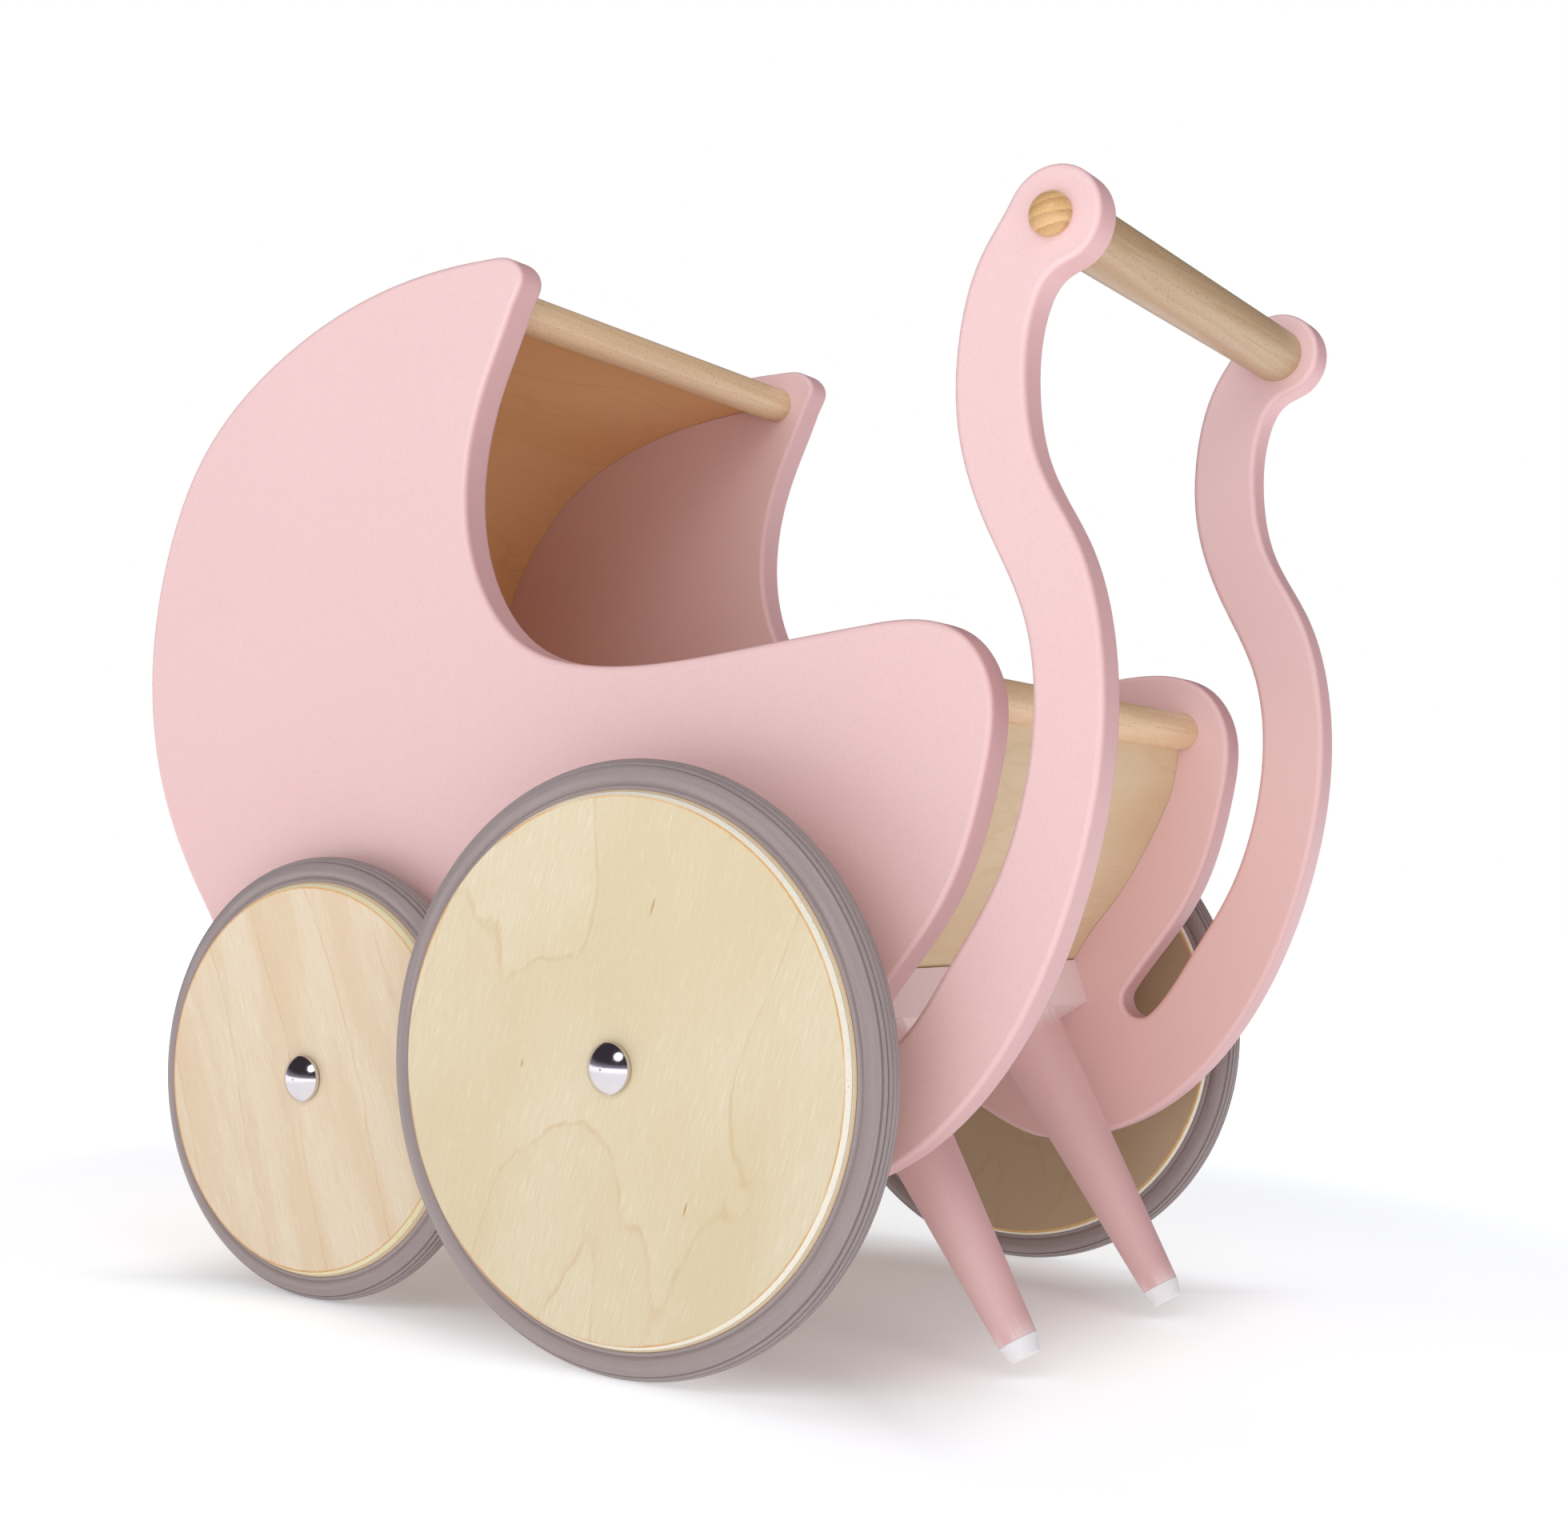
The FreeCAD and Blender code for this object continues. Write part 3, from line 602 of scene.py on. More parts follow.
        # from the middle outwards: the scorched line at the face's edge, then the rim
        radius = s.reach(x, z)
        ragged = s.noise(s.mapped((self.ragged_scale,) * 3), rough=0.6)
        wobble = s.math("MULTIPLY", s.math("SUBTRACT", ragged, 0.5), self.ragged_mm)
        slow = s.noise(s.mapped((self.scorch_scale,) * 3), detail=1.0)
        start, end = (self.face_radius - reach for reach in self.scorch_reach)
        scorch = s.math("MULTIPLY", s.window(s.math("ADD", radius, wobble), start, end),
                        s.window(slow, *self.scorch_breaks, self.scorch_low, self.scorch_high))
        face = s.mix(s.math("MULTIPLY", scorch, outward), face, self.scorched)
        down = s.math("SUBTRACT", self.face_y, s.math("ABSOLUTE", y))
        rim = self.layers(s, s.math("ADD", down, s.math("MULTIPLY", wobble, self.layer_wobble)))
        cut = s.noise(s.mapped(self.cut_scale), rough=0.6)
        rim = s.mix(s.window(cut, *self.glued), rim, self.glue)
        inner, outer = self.rim_start
        on_rim = s.window(radius, self.face_radius - inner, self.face_radius + outer)
        chip = s.math("MULTIPLY", on_rim, s.window(cut, *self.chips))
        colour = s.mix(chip, s.mix(on_rim, face, rim), self.chipped)
        grain = s.math("ADD", s.math("MULTIPLY", streak, self.streak_relief),
                       s.math("MULTIPLY", silk, self.silk_relief))
        sunk = s.math("MULTIPLY", line, self.line_sunk)
        normal = s.bump(s.math("SUBTRACT", grain, sunk), self.grain_mm)
        normal = s.bump(s.math("MULTIPLY", on_rim, cut), self.cut_mm, normal)
        return s.finish(colour, s.window(streak, *self.roughness), normal,
                        Coat_Weight=self.coat, Coat_Roughness=self.coat_roughness)


@dataclass(frozen=True)
class BentPly:
    """Thin bent plywood whose grain runs across the stroller, with layered edges."""

    name: str
    pale: Colour
    deep: Colour
    dark: Colour
    broad_pull: Pull = (0.016, 0.004, 0.016)
    fine_pull: Pull = (0.75, 0.035, 0.75)
    silk_pull: Pull = (1.9, 0.3, 1.9)
    rings: float = 5.0
    ring_jag: float = 0.18
    ring_width: Span = (0.0, 0.06, 1.0, 0.0)
    ring_share: float = 0.12
    ring_sunk: float = 0.2
    patched: Span = (0.3, 0.7)
    fine_deep: Span = (0.36, 0.70, 0.0, 0.38)
    silk_pale: Span = (0.5, 0.7, 0.0, 0.22)
    silk_dark: Span = (0.24, 0.34, 0.35, 0.0)
    grain_mm: float = 0.035
    roughness: Span = (0.3, 0.7, 0.42, 0.56)
    coat: float = 0.08
    coat_roughness: float = 0.3

    def material(self) -> bpy.types.Material:
        """Build the plywood.

        Returns:
            The plywood.
        """
        s = Shader(self.name)
        at = s.axes(s.millimetres())
        broad = s.pulled_noise(at, self.broad_pull, rough=0.45)
        fine = s.pulled_noise(at, self.fine_pull, detail=4.0, rough=0.62)
        silk = s.pulled_noise(at, self.silk_pull)
        turns = s.math("FRACT", s.math("ADD", s.math("MULTIPLY", broad, self.rings),
                                       s.math("MULTIPLY", fine, self.ring_jag)))
        gap = s.math("ABSOLUTE", s.math("SUBTRACT", turns, 0.5))
        ring = s.window(gap, *self.ring_width)
        colour = s.mix(s.window(broad, *self.patched), self.pale, self.deep)
        colour = s.mix(s.window(fine, *self.fine_deep), colour, self.deep)
        colour = s.mix(s.window(silk, *self.silk_pale), colour, self.pale)
        colour = s.mix(s.math("MULTIPLY", ring, self.ring_share), colour, self.dark)
        colour = s.mix(s.window(silk, *self.silk_dark), colour, self.dark)
        sunk = s.math("MULTIPLY", ring, self.ring_sunk)
        normal = s.bump(s.math("SUBTRACT", fine, sunk), self.grain_mm)
        return s.finish(colour, s.window(fine, *self.roughness), normal,
                        Coat_Weight=self.coat, Coat_Roughness=self.coat_roughness)


@dataclass(frozen=True)
class TurnedBeech:
    """Oiled beech with short pores and flecks along its length, which runs across."""

    name: str = "oiled_beech"
    pale: Colour = display(200, 170, 134)
    deep: Colour = display(188, 152, 112)
    pore: Colour = display(136, 98, 64)
    turn: tuple[float, float, float] = (0.0, 0.0, 0.0)
    centre: tuple[float, float, float] = (0.0, 0.0, 0.0)
    rings: float = 4.0
    drift: float = 0.0
    ring_pull: Pull = (0.07, 0.004, 0.16)
    banded: Span = (0.0, 1.0, 0.0, 0.8)
    silk_pull: Pull = (1.5, 0.11, 1.5)
    silk_pale: Span = (0.36, 0.66, 0.0, 0.5)
    ray_pull: Pull = (1.9, 0.55, 1.9)
    pores: Span = (0.64, 0.71, 0.0, 0.6)
    mottle_pull: Pull = (3.2, 1.3, 3.2)
    mottled: Span = (0.40, 0.66, 0.0, 0.16)
    grain_mm: float = 0.035
    pore_sunk: float = 0.8
    roughness: Span = (0.3, 0.7, 0.38, 0.5)
    gloss: float = 0.12
    gloss_roughness: float = 0.22

    def material(self) -> bpy.types.Material:
        """Build the beech.

        Returns:
            The beech.
        """
        s = Shader(self.name)
        at = s.axes(s.millimetres(self.centre, self.turn))
        slow = s.pulled_noise(at, self.ring_pull)
        band = s.math("FRACT", s.math("ADD", s.math("MULTIPLY", slow, self.rings),
                                      s.math("MULTIPLY", at[2], self.drift)))
        colour = s.mix(s.window(band, *self.banded), self.pale, self.deep)
        silk = s.pulled_noise(at, self.silk_pull, detail=4.0, rough=0.62)
        colour = s.mix(s.window(silk, *self.silk_pale), colour, self.pale)
        dash = s.window(s.pulled_noise(at, self.ray_pull, detail=1.0), *self.pores)
        colour = s.mix(dash, colour, self.pore)
        mottle = s.pulled_noise(at, self.mottle_pull, rough=0.6)
        colour = s.mix(s.window(mottle, *self.mottled), colour, self.pore)
        sunk = s.math("MULTIPLY", dash, self.pore_sunk)
        normal = s.bump(s.math("SUBTRACT", silk, sunk), self.grain_mm)
        return s.finish(colour, s.window(silk, *self.roughness), normal,
                        Coat_Weight=self.gloss, Coat_Roughness=self.gloss_roughness)


@dataclass(frozen=True)
class TyreRubber:
    """Moulded taupe rubber: matt, faintly wiped around its ring, with a painted highlight on the
    crests and painted shade in the grooves.
    """

    name: str
    centre: tuple[float, float, float]
    colour: Colour = display(159, 145, 144)
    dark: Colour = display(142, 128, 127)
    # Paler: the grit's flecks, and the painted highlight on the crests.
    crown: Colour = display(184, 171, 169)
    # Painted shade in the hollow grooves.
    groove: Colour = display(104, 93, 92)
    wipe_pull: Pull = (0.55, 0.55, 2.2)
    wiped_dark: Span = (0.3, 0.7, 0.0, 0.55)
    grit_scale: float = 1.6
    grit_rough: float = 0.65
    gritty: Span = (0.42, 0.7, 0.0, 0.22)
    worn_crown: Span = (0.52, 0.60, 0.0, 0.35)
    deep_groove: Span = (0.40, 0.485, 0.6, 0.0)
    roughness: Span = (0.3, 0.7, 0.36, 0.46)
    grit_mm: float = 0.03

    def material(self) -> bpy.types.Material:
        """Build the rubber.

        Returns:
            The rubber.
        """
        s = Shader(self.name)
        x, y, z = s.axes(s.millimetres(self.centre))
        angle = s.math("ABSOLUTE", s.math("ARCTAN2", x, z))
        wiped = s.pulled_noise((s.reach(x, z), y, angle), self.wipe_pull, detail=3.0,
                               rough=0.55)
        grit = s.noise(s.millimetres(), self.grit_scale, rough=self.grit_rough)
        colour = s.mix(s.window(wiped, *self.wiped_dark), self.colour, self.dark)
        colour = s.mix(s.window(grit, *self.gritty), colour, self.crown)
        point = s.pointiness()
        # Painted highlight: the convex crests turn paler.
        colour = s.mix(s.window(point, *self.worn_crown), colour, self.crown)
        # Painted shade: the hollow grooves turn darker.
        colour = s.mix(s.window(point, *self.deep_groove), colour, self.groove)
        return s.finish(colour, s.window(wiped, *self.roughness), s.bump(grit, self.grit_mm))


@dataclass(frozen=True)
class BrightMetal:
    """Plated or drawn metal with hairline scratches."""

    name: str
    colour: Colour
    roughness: float
    scratch_mm: float
    hair_scale: Pull = (4000.0, 300.0, 900.0)
    hair_turn: float = 34.0
    cloud_scale: float = 400.0
    clouded: Span = (0.3, 0.7, 0.0, 0.15)
    dulled: float = 0.86
    scratched: Span = (0.35, 0.75)
    rough_play: tuple[float, float] = (0.7, 1.6)

    def material(self) -> bpy.types.Material:
        """Build the metal.

        Returns:
            The metal.
        """
        s = Shader(self.name)
        hair = s.noise(s.mapped(self.hair_scale, turn=(0, self.hair_turn, 0)), detail=2.0,
                       rough=0.6)
        cloud = s.noise(s.mapped((self.cloud_scale,) * 3))
        dull = tuple(self.dulled * part for part in self.colour)
        colour = s.mix(s.window(cloud, *self.clouded), self.colour, dull)
        smooth, rough = (self.roughness * share for share in self.rough_play)
        return s.finish(colour, s.window(hair, *self.scratched, smooth, rough),
                        s.bump(hair, self.scratch_mm), Metallic=1.0)


@dataclass(frozen=True)
class MouldedPlastic:
    """Moulded plastic or soft rubber with a fine satin grain."""

    name: str
    colour: Colour
    shade: Colour
    roughness: float
    grain_scale: float = 2.2
    cloud_scale: float = 60.0
    clouded: Span = (0.3, 0.7, 0.0, 0.5)
    worn_edge: Span = (0.52, 0.6)
    worn_share: float = 0.3
    grained: Span = (0.3, 0.7)
    rough_play: tuple[float, float] = (0.05, 0.08)
    grain_mm: float = 0.012

    def material(self) -> bpy.types.Material:
        """Build the plastic.

        Returns:
            The plastic.
        """
        s = Shader(self.name)
        grain = s.noise(s.millimetres(), self.grain_scale, rough=0.6)
        cloud = s.noise(s.place, self.cloud_scale, detail=2.0)
        colour = s.mix(s.window(cloud, *self.clouded), self.colour, self.shade)
        # Sharp edges turn towards the lighter base colour.
        lightened = s.math("MULTIPLY", s.window(s.pointiness(), *self.worn_edge), self.worn_share)
        colour = s.mix(lightened, colour, self.colour)
        less, more = self.rough_play
        rough = s.window(grain, *self.grained, self.roughness - less, self.roughness + more)
        return s.finish(colour, rough, s.bump(grain, self.grain_mm))


def dress(nodes: Sequence[str], material: bpy.types.Material) -> None:
    """Give CAD nodes a finish.

    Args:
        nodes: The nodes' names.
        material: The finish.
    """
    for name in nodes:
        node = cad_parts[name]
        for slot in node.material_slots:
            slot.material = material
    log.info("dressed %s in %s", ", ".join(nodes), material.name)


@dataclass
class Bodywork:
    """The painted sides, bent plywood and floor of the cot."""

    paint: SatinPaint = SatinPaint()
    # The beam's and legs' copies of the lacquer carry their own painted shade: a darker low
    # colour, with deeper cut edges on the beam and paler ones on the legs.
    beam_paint: SatinPaint = SatinPaint("satin_pink_lacquer_on_beam",
                                        low_colour=display(226, 184, 183),
                                        soaked=display(212, 164, 164))
    leg_paint: SatinPaint = SatinPaint("satin_pink_lacquer_on_legs",
                                       low_colour=display(232, 190, 188),
                                       soaked=display(228, 180, 179))
    hood: BentPly = BentPly("hood_plywood", display(250, 206, 150), display(243, 193, 134),
                            display(186, 130, 78))
    foot: BentPly = BentPly("foot_plywood", display(230, 206, 170), display(218, 190, 150),
                            display(188, 150, 104))

    def build(self) -> None:
        """Dress the cot's nodes."""
        lacquer = self.paint.material()
        dress(["left_side_panel", "right_side_panel"], lacquer)
        dress(["left_leg", "right_leg"], self.leg_paint.material())
        dress(["cross_beam"], self.beam_paint.material())
        dress(["hood_shell"], self.hood.material())
        dress(["foot_shell", "floor_board"], self.foot.material())


@dataclass
class Woodwork:
    """The turned beech bars, pins and handle plugs."""

    beech: TurnedBeech = TurnedBeech()
    # The dowels' beech is a lighter copy of the bars' beech: painted light.
    dowel: TurnedBeech = TurnedBeech("beech_dowel_with_painted_light", display(240, 208, 168),
                                     display(228, 190, 146), display(170, 126, 86))
    plug: TurnedBeech = TurnedBeech(
        "varnished_beech_plug", display(226, 184, 128), display(186, 136, 84),
        display(158, 108, 62), (0.0, 14.0, 0.0), (0.226, 0.0, 0.44), rings=1.1, drift=0.24,
        ring_pull=(0.03, 0.02, 0.10), gloss=0.5)

    def build(self) -> None:
        """Dress the beech nodes."""
        dress(["handle_bar", "beam_pins"], self.beech.material())
        dress(["hood_dowel", "foot_dowel"], self.dowel.material())
        dress(["left_handle_plug", "right_handle_plug"], self.plug.material())


@dataclass
class Hardware:
    """Steel, chrome and moulded parts."""

    chrome: BrightMetal = BrightMetal("cap_chrome", (0.74, 0.71, 0.74), 0.13, 0.0015)
    steel: BrightMetal = BrightMetal("drawn_steel", (0.58, 0.57, 0.56), 0.3, 0.006)
    hub: MouldedPlastic = MouldedPlastic("hub_nylon", display(232, 228, 220),
                                         display(220, 214, 204), 0.42)
    foot: MouldedPlastic = MouldedPlastic("foot_cap_rubber", display(249, 247, 249),
                                          display(242, 239, 241), 0.5)

    def build(self) -> None:
        """Dress the hardware nodes."""
        wheels = [f"{axle.value}_{side.word}" for axle in Axle for side in Side]
        dress([f"{wheel}_hub_cap" for wheel in wheels], self.chrome.material())
        dress(["rear_axle", "front_axle", "left_leg_bolt", "right_leg_bolt",
               "left_handle_screw", "right_handle_screw"], self.steel.material())
        hubs = [f"{wheel}_spacer" for wheel in wheels] + [f"{wheel}_hub_bush" for wheel in wheels]
        dress(hubs, self.hub.material())
        dress(["left_foot_cap", "right_foot_cap"], self.foot.material())


@dataclass
class Tyre:
    """One moulded tyre: side beads, soft round shoulders and a ribbed crown.

    Heights run outwards from the inner face of the wheel's disc. All sizes but the places
    are in millimetres.
    """

    name: str
    body: str
    centre: Vector
    inner_y: float
    side: Side
    disc_radius: float
    wheel_radius: float
    low: float = 1.3
    high: float = 16.8
    ribs: int = 6
    rib_reach: float = 48.0
    rib_deep: float = 0.75
    rib_flat: float = 0.32
    rib_shape: tuple[tuple[float, float], ...] = (
        (0.0, 1.0), (0.10, 0.72), (0.19, 0.10), (0.32, 0.0),
        (0.5, 0.0), (0.68, 0.0), (0.81, 0.10), (0.90, 0.72))
    shoulder_turns: tuple[float, ...] = (90.0, 84.0, 78.0, 72.0, 66.0, 60.0, 54.0)
    crown_share: float = 0.60
    crown_swell: float = 0.06
    start_radius: float = 0.01
    steps: int = 180
    merge: float = 0.00002
    smooth_angle: float = 50.0

    def bead(self) -> list[tuple[float, float]]:
        """Return the bead and its groove, as (out from the disc, up from the side) points."""
        return [(-0.05, -0.7), (0.10, -0.10), (0.55, 0.08), (1.05, 0.08), (1.50, -0.12),
                (1.75, -0.55), (2.05, -0.80), (2.40, -0.72), (2.75, -0.38), (3.30, -0.14)]

    def crown(self) -> list[tuple[float, float]]:
        """Return the round section from the outer shoulder over the ribs to the inner one.

        Returns:
            The (radius, height) points.
        """
        deep = self.crown_share * (self.wheel_radius - self.disc_radius)
        half = (self.high - self.low) / 2 + self.crown_swell
        pitch = 2 * self.rib_reach / self.ribs
        grow = deep / math.cos(math.radians(self.rib_flat * pitch))
        marks = [(angle, 0.0) for angle in self.shoulder_turns]
        for rib in range(self.ribs):
            start = self.rib_reach - rib * pitch
            marks += [(start - part * pitch, sunk * self.rib_deep)
                      for part, sunk in self.rib_shape]
        marks.append((-self.rib_reach, self.rib_deep))
        marks += [(-angle, 0.0) for angle in reversed(self.shoulder_turns)]
        middle = (self.high + self.low) / 2
        rise = self.wheel_radius - deep
        return [(rise + (grow - sunk) * math.cos(math.radians(angle)),
                 middle + (half - sunk) * math.sin(math.radians(angle)))
                for angle, sunk in marks]

    def section(self) -> list[Vector]:
        """Return the closed section above the axle, in metres.

        Returns:
            The section's corners.
        """
        outer = [(self.disc_radius + out, self.high + up) for out, up in self.bead()]
        inner = [(self.disc_radius + out, self.low - up) for out, up in reversed(self.bead())]
        way = self.side.value
        return [Vector((self.centre.x, way * (self.inner_y + height * MM),
                        self.centre.z + radius * MM))
                for radius, height in outer + self.crown() + inner]

    def build(self, material: bpy.types.Material) -> None:
        """Spin the section round the axle and put it in the tyre's place.

        Args:
            material: The rubber.
        """
        points = self.section()
        bpy.ops.object.select_all(action="DESELECT")
        bpy.ops.mesh.primitive_circle_add(vertices=len(points), radius=self.start_radius,
                                          location=(0, 0, 0))
        tyre = bpy.context.object
        tyre.name = self.name
        for vertex, point in zip(tyre.data.vertices, points):
            vertex.co = point
        bpy.ops.object.mode_set(mode="EDIT")
        bpy.ops.mesh.select_all(action="SELECT")
        bpy.ops.mesh.spin(steps=self.steps, angle=math.tau, axis=(0.0, 1.0, 0.0),
                          center=(self.centre.x, 0.0, self.centre.z))
        bpy.ops.mesh.select_all(action="SELECT")
        bpy.ops.mesh.remove_doubles(threshold=self.merge)
        bpy.ops.mesh.normals_make_consistent(inside=False)
        bpy.ops.object.mode_set(mode="OBJECT")
        bpy.ops.object.shade_smooth_by_angle(angle=math.radians(self.smooth_angle))
        tyre.data.materials.append(material)
        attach(tyre, self.body)
        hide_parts(f"{self.body.replace('_wheel', '')}_tyre")
        log.info("modelled %s", tyre.name)


@dataclass
class Wheel:
    """One wheel's plywood disc and rubber tyre."""

    axle: Axle
    side: Side
    bevel: float = 2.4

    def veneer(self, middle: Vector, radius: float, outer: float) -> WheelVeneer:
        """Return the plywood of this wheel's disc.

        Args:
            middle: The disc's middle, in metres.
            radius: The disc's radius, in millimetres.
            outer: From the disc's middle to its outer face, in millimetres.

        Returns:
            The plywood's finish.
        """
        name = f"{self.axle.value}_{self.side.word}_plywood"
        if self.axle is Axle.FRONT:
            return WheelVeneer(
                name, tuple(middle), radius - self.bevel, outer, pale=display(234, 218, 192),
                deep=display(227, 202, 169), ring=display(210, 168, 118),
                edge=display(250, 240, 196), slant=24.0, swing=1.3, drift=0.028, bands=0.05,
                scorch_low=0.6, way=self.side.value)
        return WheelVeneer(
            name, tuple(middle), radius - self.bevel, outer, pale=display(228, 214, 184),
            deep=display(222, 204, 167), ring=display(206, 168, 112),
            edge=display(255, 250, 232), slant=-16.0, swing=4.2, drift=0.006, bands=0.016,
            scorch_low=0.0, way=self.side.value,
            flecks=((-1.0, 66.0, 9.0), (50.0, -38.0, 7.0), (-43.0, -14.0, 4.0)))

    def build(self) -> None:
        """Dress the wheel's nodes."""
        name = f"{self.axle.value}_{self.side.word}"
        low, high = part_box(f"{name}_wheel_disc")
        middle = (low + high) / 2
        radius = (high.x - low.x) / 2 / MM
        outer = (high.y - low.y) / 2 / MM
        dress([f"{name}_wheel_disc"], self.veneer(middle, radius, outer).material())
        rubber = TyreRubber(f"{name}_rubber", tuple(middle)).material()
        dress([f"{name}_tyre"], rubber)
        inner_y = min(abs(low.y), abs(high.y))
        Tyre(f"{name}_moulded_tyre", f"{name}_wheel", middle, inner_y, self.side, radius,
             middle.z / MM).build(rubber)


@dataclass(frozen=True)
class Softbox:
    """One round soft light that faces the middle of the stroller."""

    name: str
    at: tuple[float, float, float]
    size: float
    power: float
    colour: Colour = (1.0, 1.0, 1.0)
    mirrored: bool = False

    def build(self, toward: Vector) -> None:
        """Hang the light.

        Args:
            toward: The point it faces.
        """
        data = bpy.data.lights.new(self.name, "AREA")
        data.shape = "DISK"
        data.size = self.size
        data.energy = self.power
        data.color = self.colour
        lamp = bpy.data.objects.new(self.name, data)
        lamp.visible_glossy = self.mirrored
        bpy.context.scene.collection.objects.link(lamp)
        aim = toward - Vector(self.at)
        turned = aim.to_track_quat("-Z", "Y").to_matrix().to_4x4()
        lamp.matrix_world = Matrix.Translation(Vector(self.at)) @ turned


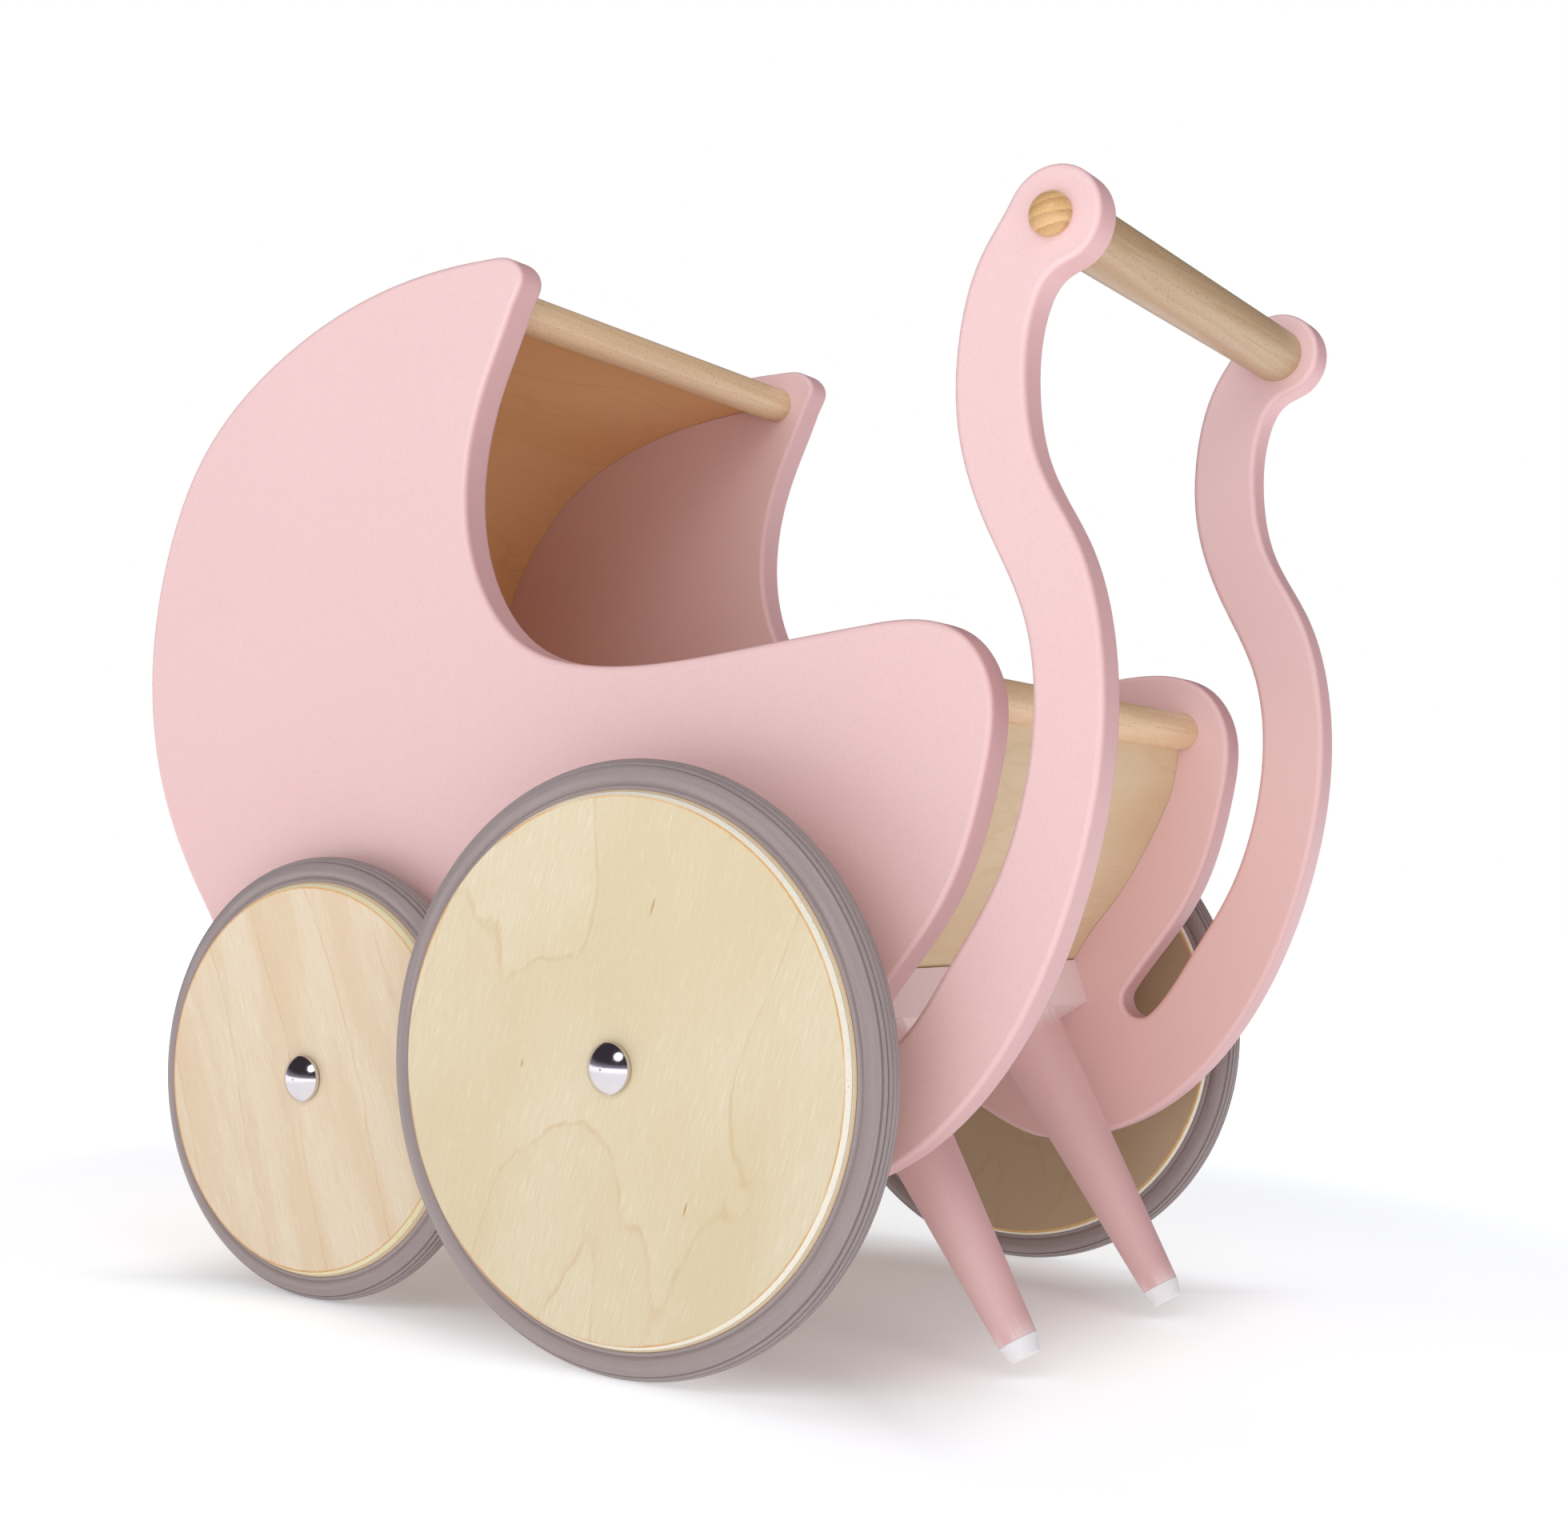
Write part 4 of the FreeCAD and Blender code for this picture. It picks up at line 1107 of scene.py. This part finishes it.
@dataclass
class Studio:
    """Floor and backdrop in one sweep, soft lights and the camera."""

    floor_size: float = 14.0
    floor_colour: Colour = display(241, 245, 249)
    floor_cloud: Colour = display(247, 247, 248)
    floor_roughness: float = 0.9
    floor_glow: Colour = (0.98, 0.99, 1.0)
    cloud_scale: float = 30.0
    clouded: Span = (0.3, 0.7, 0.0, 0.3)
    under: tuple[float, float] = (0.24, 0.19)
    under_fade: tuple[float, float] = (0.55, 1.05)
    far_fade: tuple[float, float] = (0.45, 0.95)
    # Painted shadow: the floor's glow under the stroller.
    glow_under: float = 0.18
    glow_near: float = 0.53
    camera_at: tuple[float, float, float] = (0.5841, -0.8427, 0.2061)
    azimuth: float = 0.5763
    elevation: float = -0.0467
    roll: float = 0.0325
    lens: float = 48.286
    sensor: float = 36.0
    view_depth: float = 100.0
    surround_low: tuple[float, Colour] = (0.10, (0.40, 0.40, 0.42))
    surround_high: tuple[float, Colour] = (0.70, (0.12, 0.12, 0.14))
    mirror_low: tuple[float, Colour] = (0.0, (0.30, 0.29, 0.36))
    mirror_high: tuple[float, Colour] = (0.22, (0.045, 0.036, 0.045))
    middle: tuple[float, float, float] = (0.0, 0.0, 0.22)
    softboxes: tuple[Softbox, ...] = (
        Softbox("key_softbox", (-0.40, -3.0, 1.85), 1.8, 12.0),
        Softbox("front_softbox", (0.75, -2.8, 0.6), 1.8, 12.0),
        Softbox("side_softbox", (0.9, -2.3, 1.9), 1.4, 10.0, mirrored=True),
        Softbox("right_softbox", (2.0, -1.4, 2.1), 1.4, 10.0, (1.0, 0.955, 0.92)),
        Softbox("top_softbox", (0.0, 0.1, 2.1), 1.8, 6.5),
        Softbox("back_softbox", (-1.1, 3.0, 1.7), 1.8, 14.0),
    )

    def sweep(self) -> None:
        """Lay the floor, which glows as painted light: less under the stroller, a painted shadow
        there, and more far from it.
        """
        bpy.ops.mesh.primitive_plane_add(size=self.floor_size, location=(0, 0, 0))
        floor = bpy.context.object
        floor.name = "studio_floor"
        s = Shader("white_studio_sweep")
        cloud = s.noise(s.place, self.cloud_scale)
        x, y, _ = s.axes()
        # Painted shadow: the floor's glow dips inside the stroller's footprint.
        beside = s.math("MAXIMUM", s.math("DIVIDE", s.math("ABSOLUTE", x), self.under[0]),
                        s.math("DIVIDE", s.math("ABSOLUTE", y), self.under[1]))
        near = s.window(beside, *self.under_fade, self.glow_under, self.glow_near)
        far = s.window(s.reach(x, y), *self.far_fade, 0.0, 1.0 - self.glow_near)
        colour = s.mix(s.window(cloud, *self.clouded), self.floor_colour, self.floor_cloud)
        floor.data.materials.append(s.finish(
            colour, self.floor_roughness, Emission_Color=self.floor_glow,
            Emission_Strength=s.math("ADD", near, far)))

    def world(self) -> None:
        """Set a white backdrop, a soft surround for light and a dark one for reflections."""
        world = bpy.data.worlds.new("studio_surround")
        bpy.context.scene.world = world
        world.use_nodes = True
        tree = world.node_tree
        coordinates = tree.nodes.new("ShaderNodeTexCoord")
        split = tree.nodes.new("ShaderNodeSeparateXYZ")
        tree.links.new(coordinates.outputs["Generated"], split.inputs[0])
        seen = tree.nodes.new("ShaderNodeLightPath")

        def sky(*ends: tuple[float, Colour]) -> Socket:
            """Blend two colours over height.

            Args:
                ends: The low and the high end, each with its position and colour.

            Returns:
                The blended colour.
            """
            ramp = tree.nodes.new("ShaderNodeValToRGB")
            for element, (position, colour) in zip(ramp.color_ramp.elements, ends):
                element.position = position
                element.color = (*colour, 1.0)
            tree.links.new(split.outputs[2], ramp.inputs[0])
            return ramp.outputs[0]

        def either(switch: Socket, no: Socket, yes: Optional[Socket] = None) -> Socket:
            """Choose one of two colours by a kind of ray.

            Args:
                switch: Whether the ray is of that kind.
                no: The colour for other rays.
                yes: The colour for such a ray, or white.

            Returns:
                The chosen colour.
            """
            node = tree.nodes.new("ShaderNodeMix")
            node.data_type = "RGBA"
            tree.links.new(switch, node.inputs[0])
            tree.links.new(no, node.inputs[6])
            node.inputs[7].default_value = (1.0, 1.0, 1.0, 1.0)
            if yes is not None:
                tree.links.new(yes, node.inputs[7])
            return node.outputs[2]

        soft = sky(self.surround_low, self.surround_high)
        dark = sky(self.mirror_low, self.mirror_high)
        lit = either(seen.outputs["Is Glossy Ray"], soft, dark)
        shown = either(seen.outputs["Is Camera Ray"], lit)
        tree.links.new(shown, tree.nodes["Background"].inputs[0])

    def camera(self) -> None:
        """Set the camera from its place, heading and lens."""
        across, up_turn, tilt = self.azimuth, self.elevation, self.roll
        ahead = Vector((-math.sin(across) * math.cos(up_turn),
                        math.cos(across) * math.cos(up_turn), -math.sin(up_turn)))
        right = Vector((math.cos(across), math.sin(across), 0.0))
        upward = right.cross(ahead)
        turned_right = right * math.cos(tilt) + upward * math.sin(tilt)
        turned_up = upward * math.cos(tilt) - right * math.sin(tilt)
        data = bpy.data.cameras.new("studio_camera")
        data.lens = self.lens
        data.sensor_width = self.sensor
        data.sensor_fit = "HORIZONTAL"
        data.clip_end = self.view_depth
        camera = bpy.data.objects.new("studio_camera", data)
        bpy.context.scene.collection.objects.link(camera)
        camera.matrix_world = Matrix((
            (turned_right.x, turned_up.x, -ahead.x, self.camera_at[0]),
            (turned_right.y, turned_up.y, -ahead.y, self.camera_at[1]),
            (turned_right.z, turned_up.z, -ahead.z, self.camera_at[2]),
            (0, 0, 0, 1)))
        bpy.context.scene.camera = camera

    def build(self) -> None:
        """Build the whole studio."""
        self.sweep()
        self.world()
        for softbox in self.softboxes:
            softbox.build(Vector(self.middle))
        self.camera()
        view = bpy.context.scene.view_settings
        view.view_transform = "Standard"
        view.look = "None"
        log.info("built the studio with %d softboxes", len(self.softboxes))


def main() -> None:
    """Build the finishes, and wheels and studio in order."""
    logging.basicConfig(level=logging.INFO, format="%(message)s")
    bpy.ops.object.select_all(action="DESELECT")
    Bodywork().build()
    Woodwork().build()
    Hardware().build()
    for axle in Axle:
        for side in Side:
            Wheel(axle, side).build()
    Studio().build()


if __name__ == "__main__":
    main()
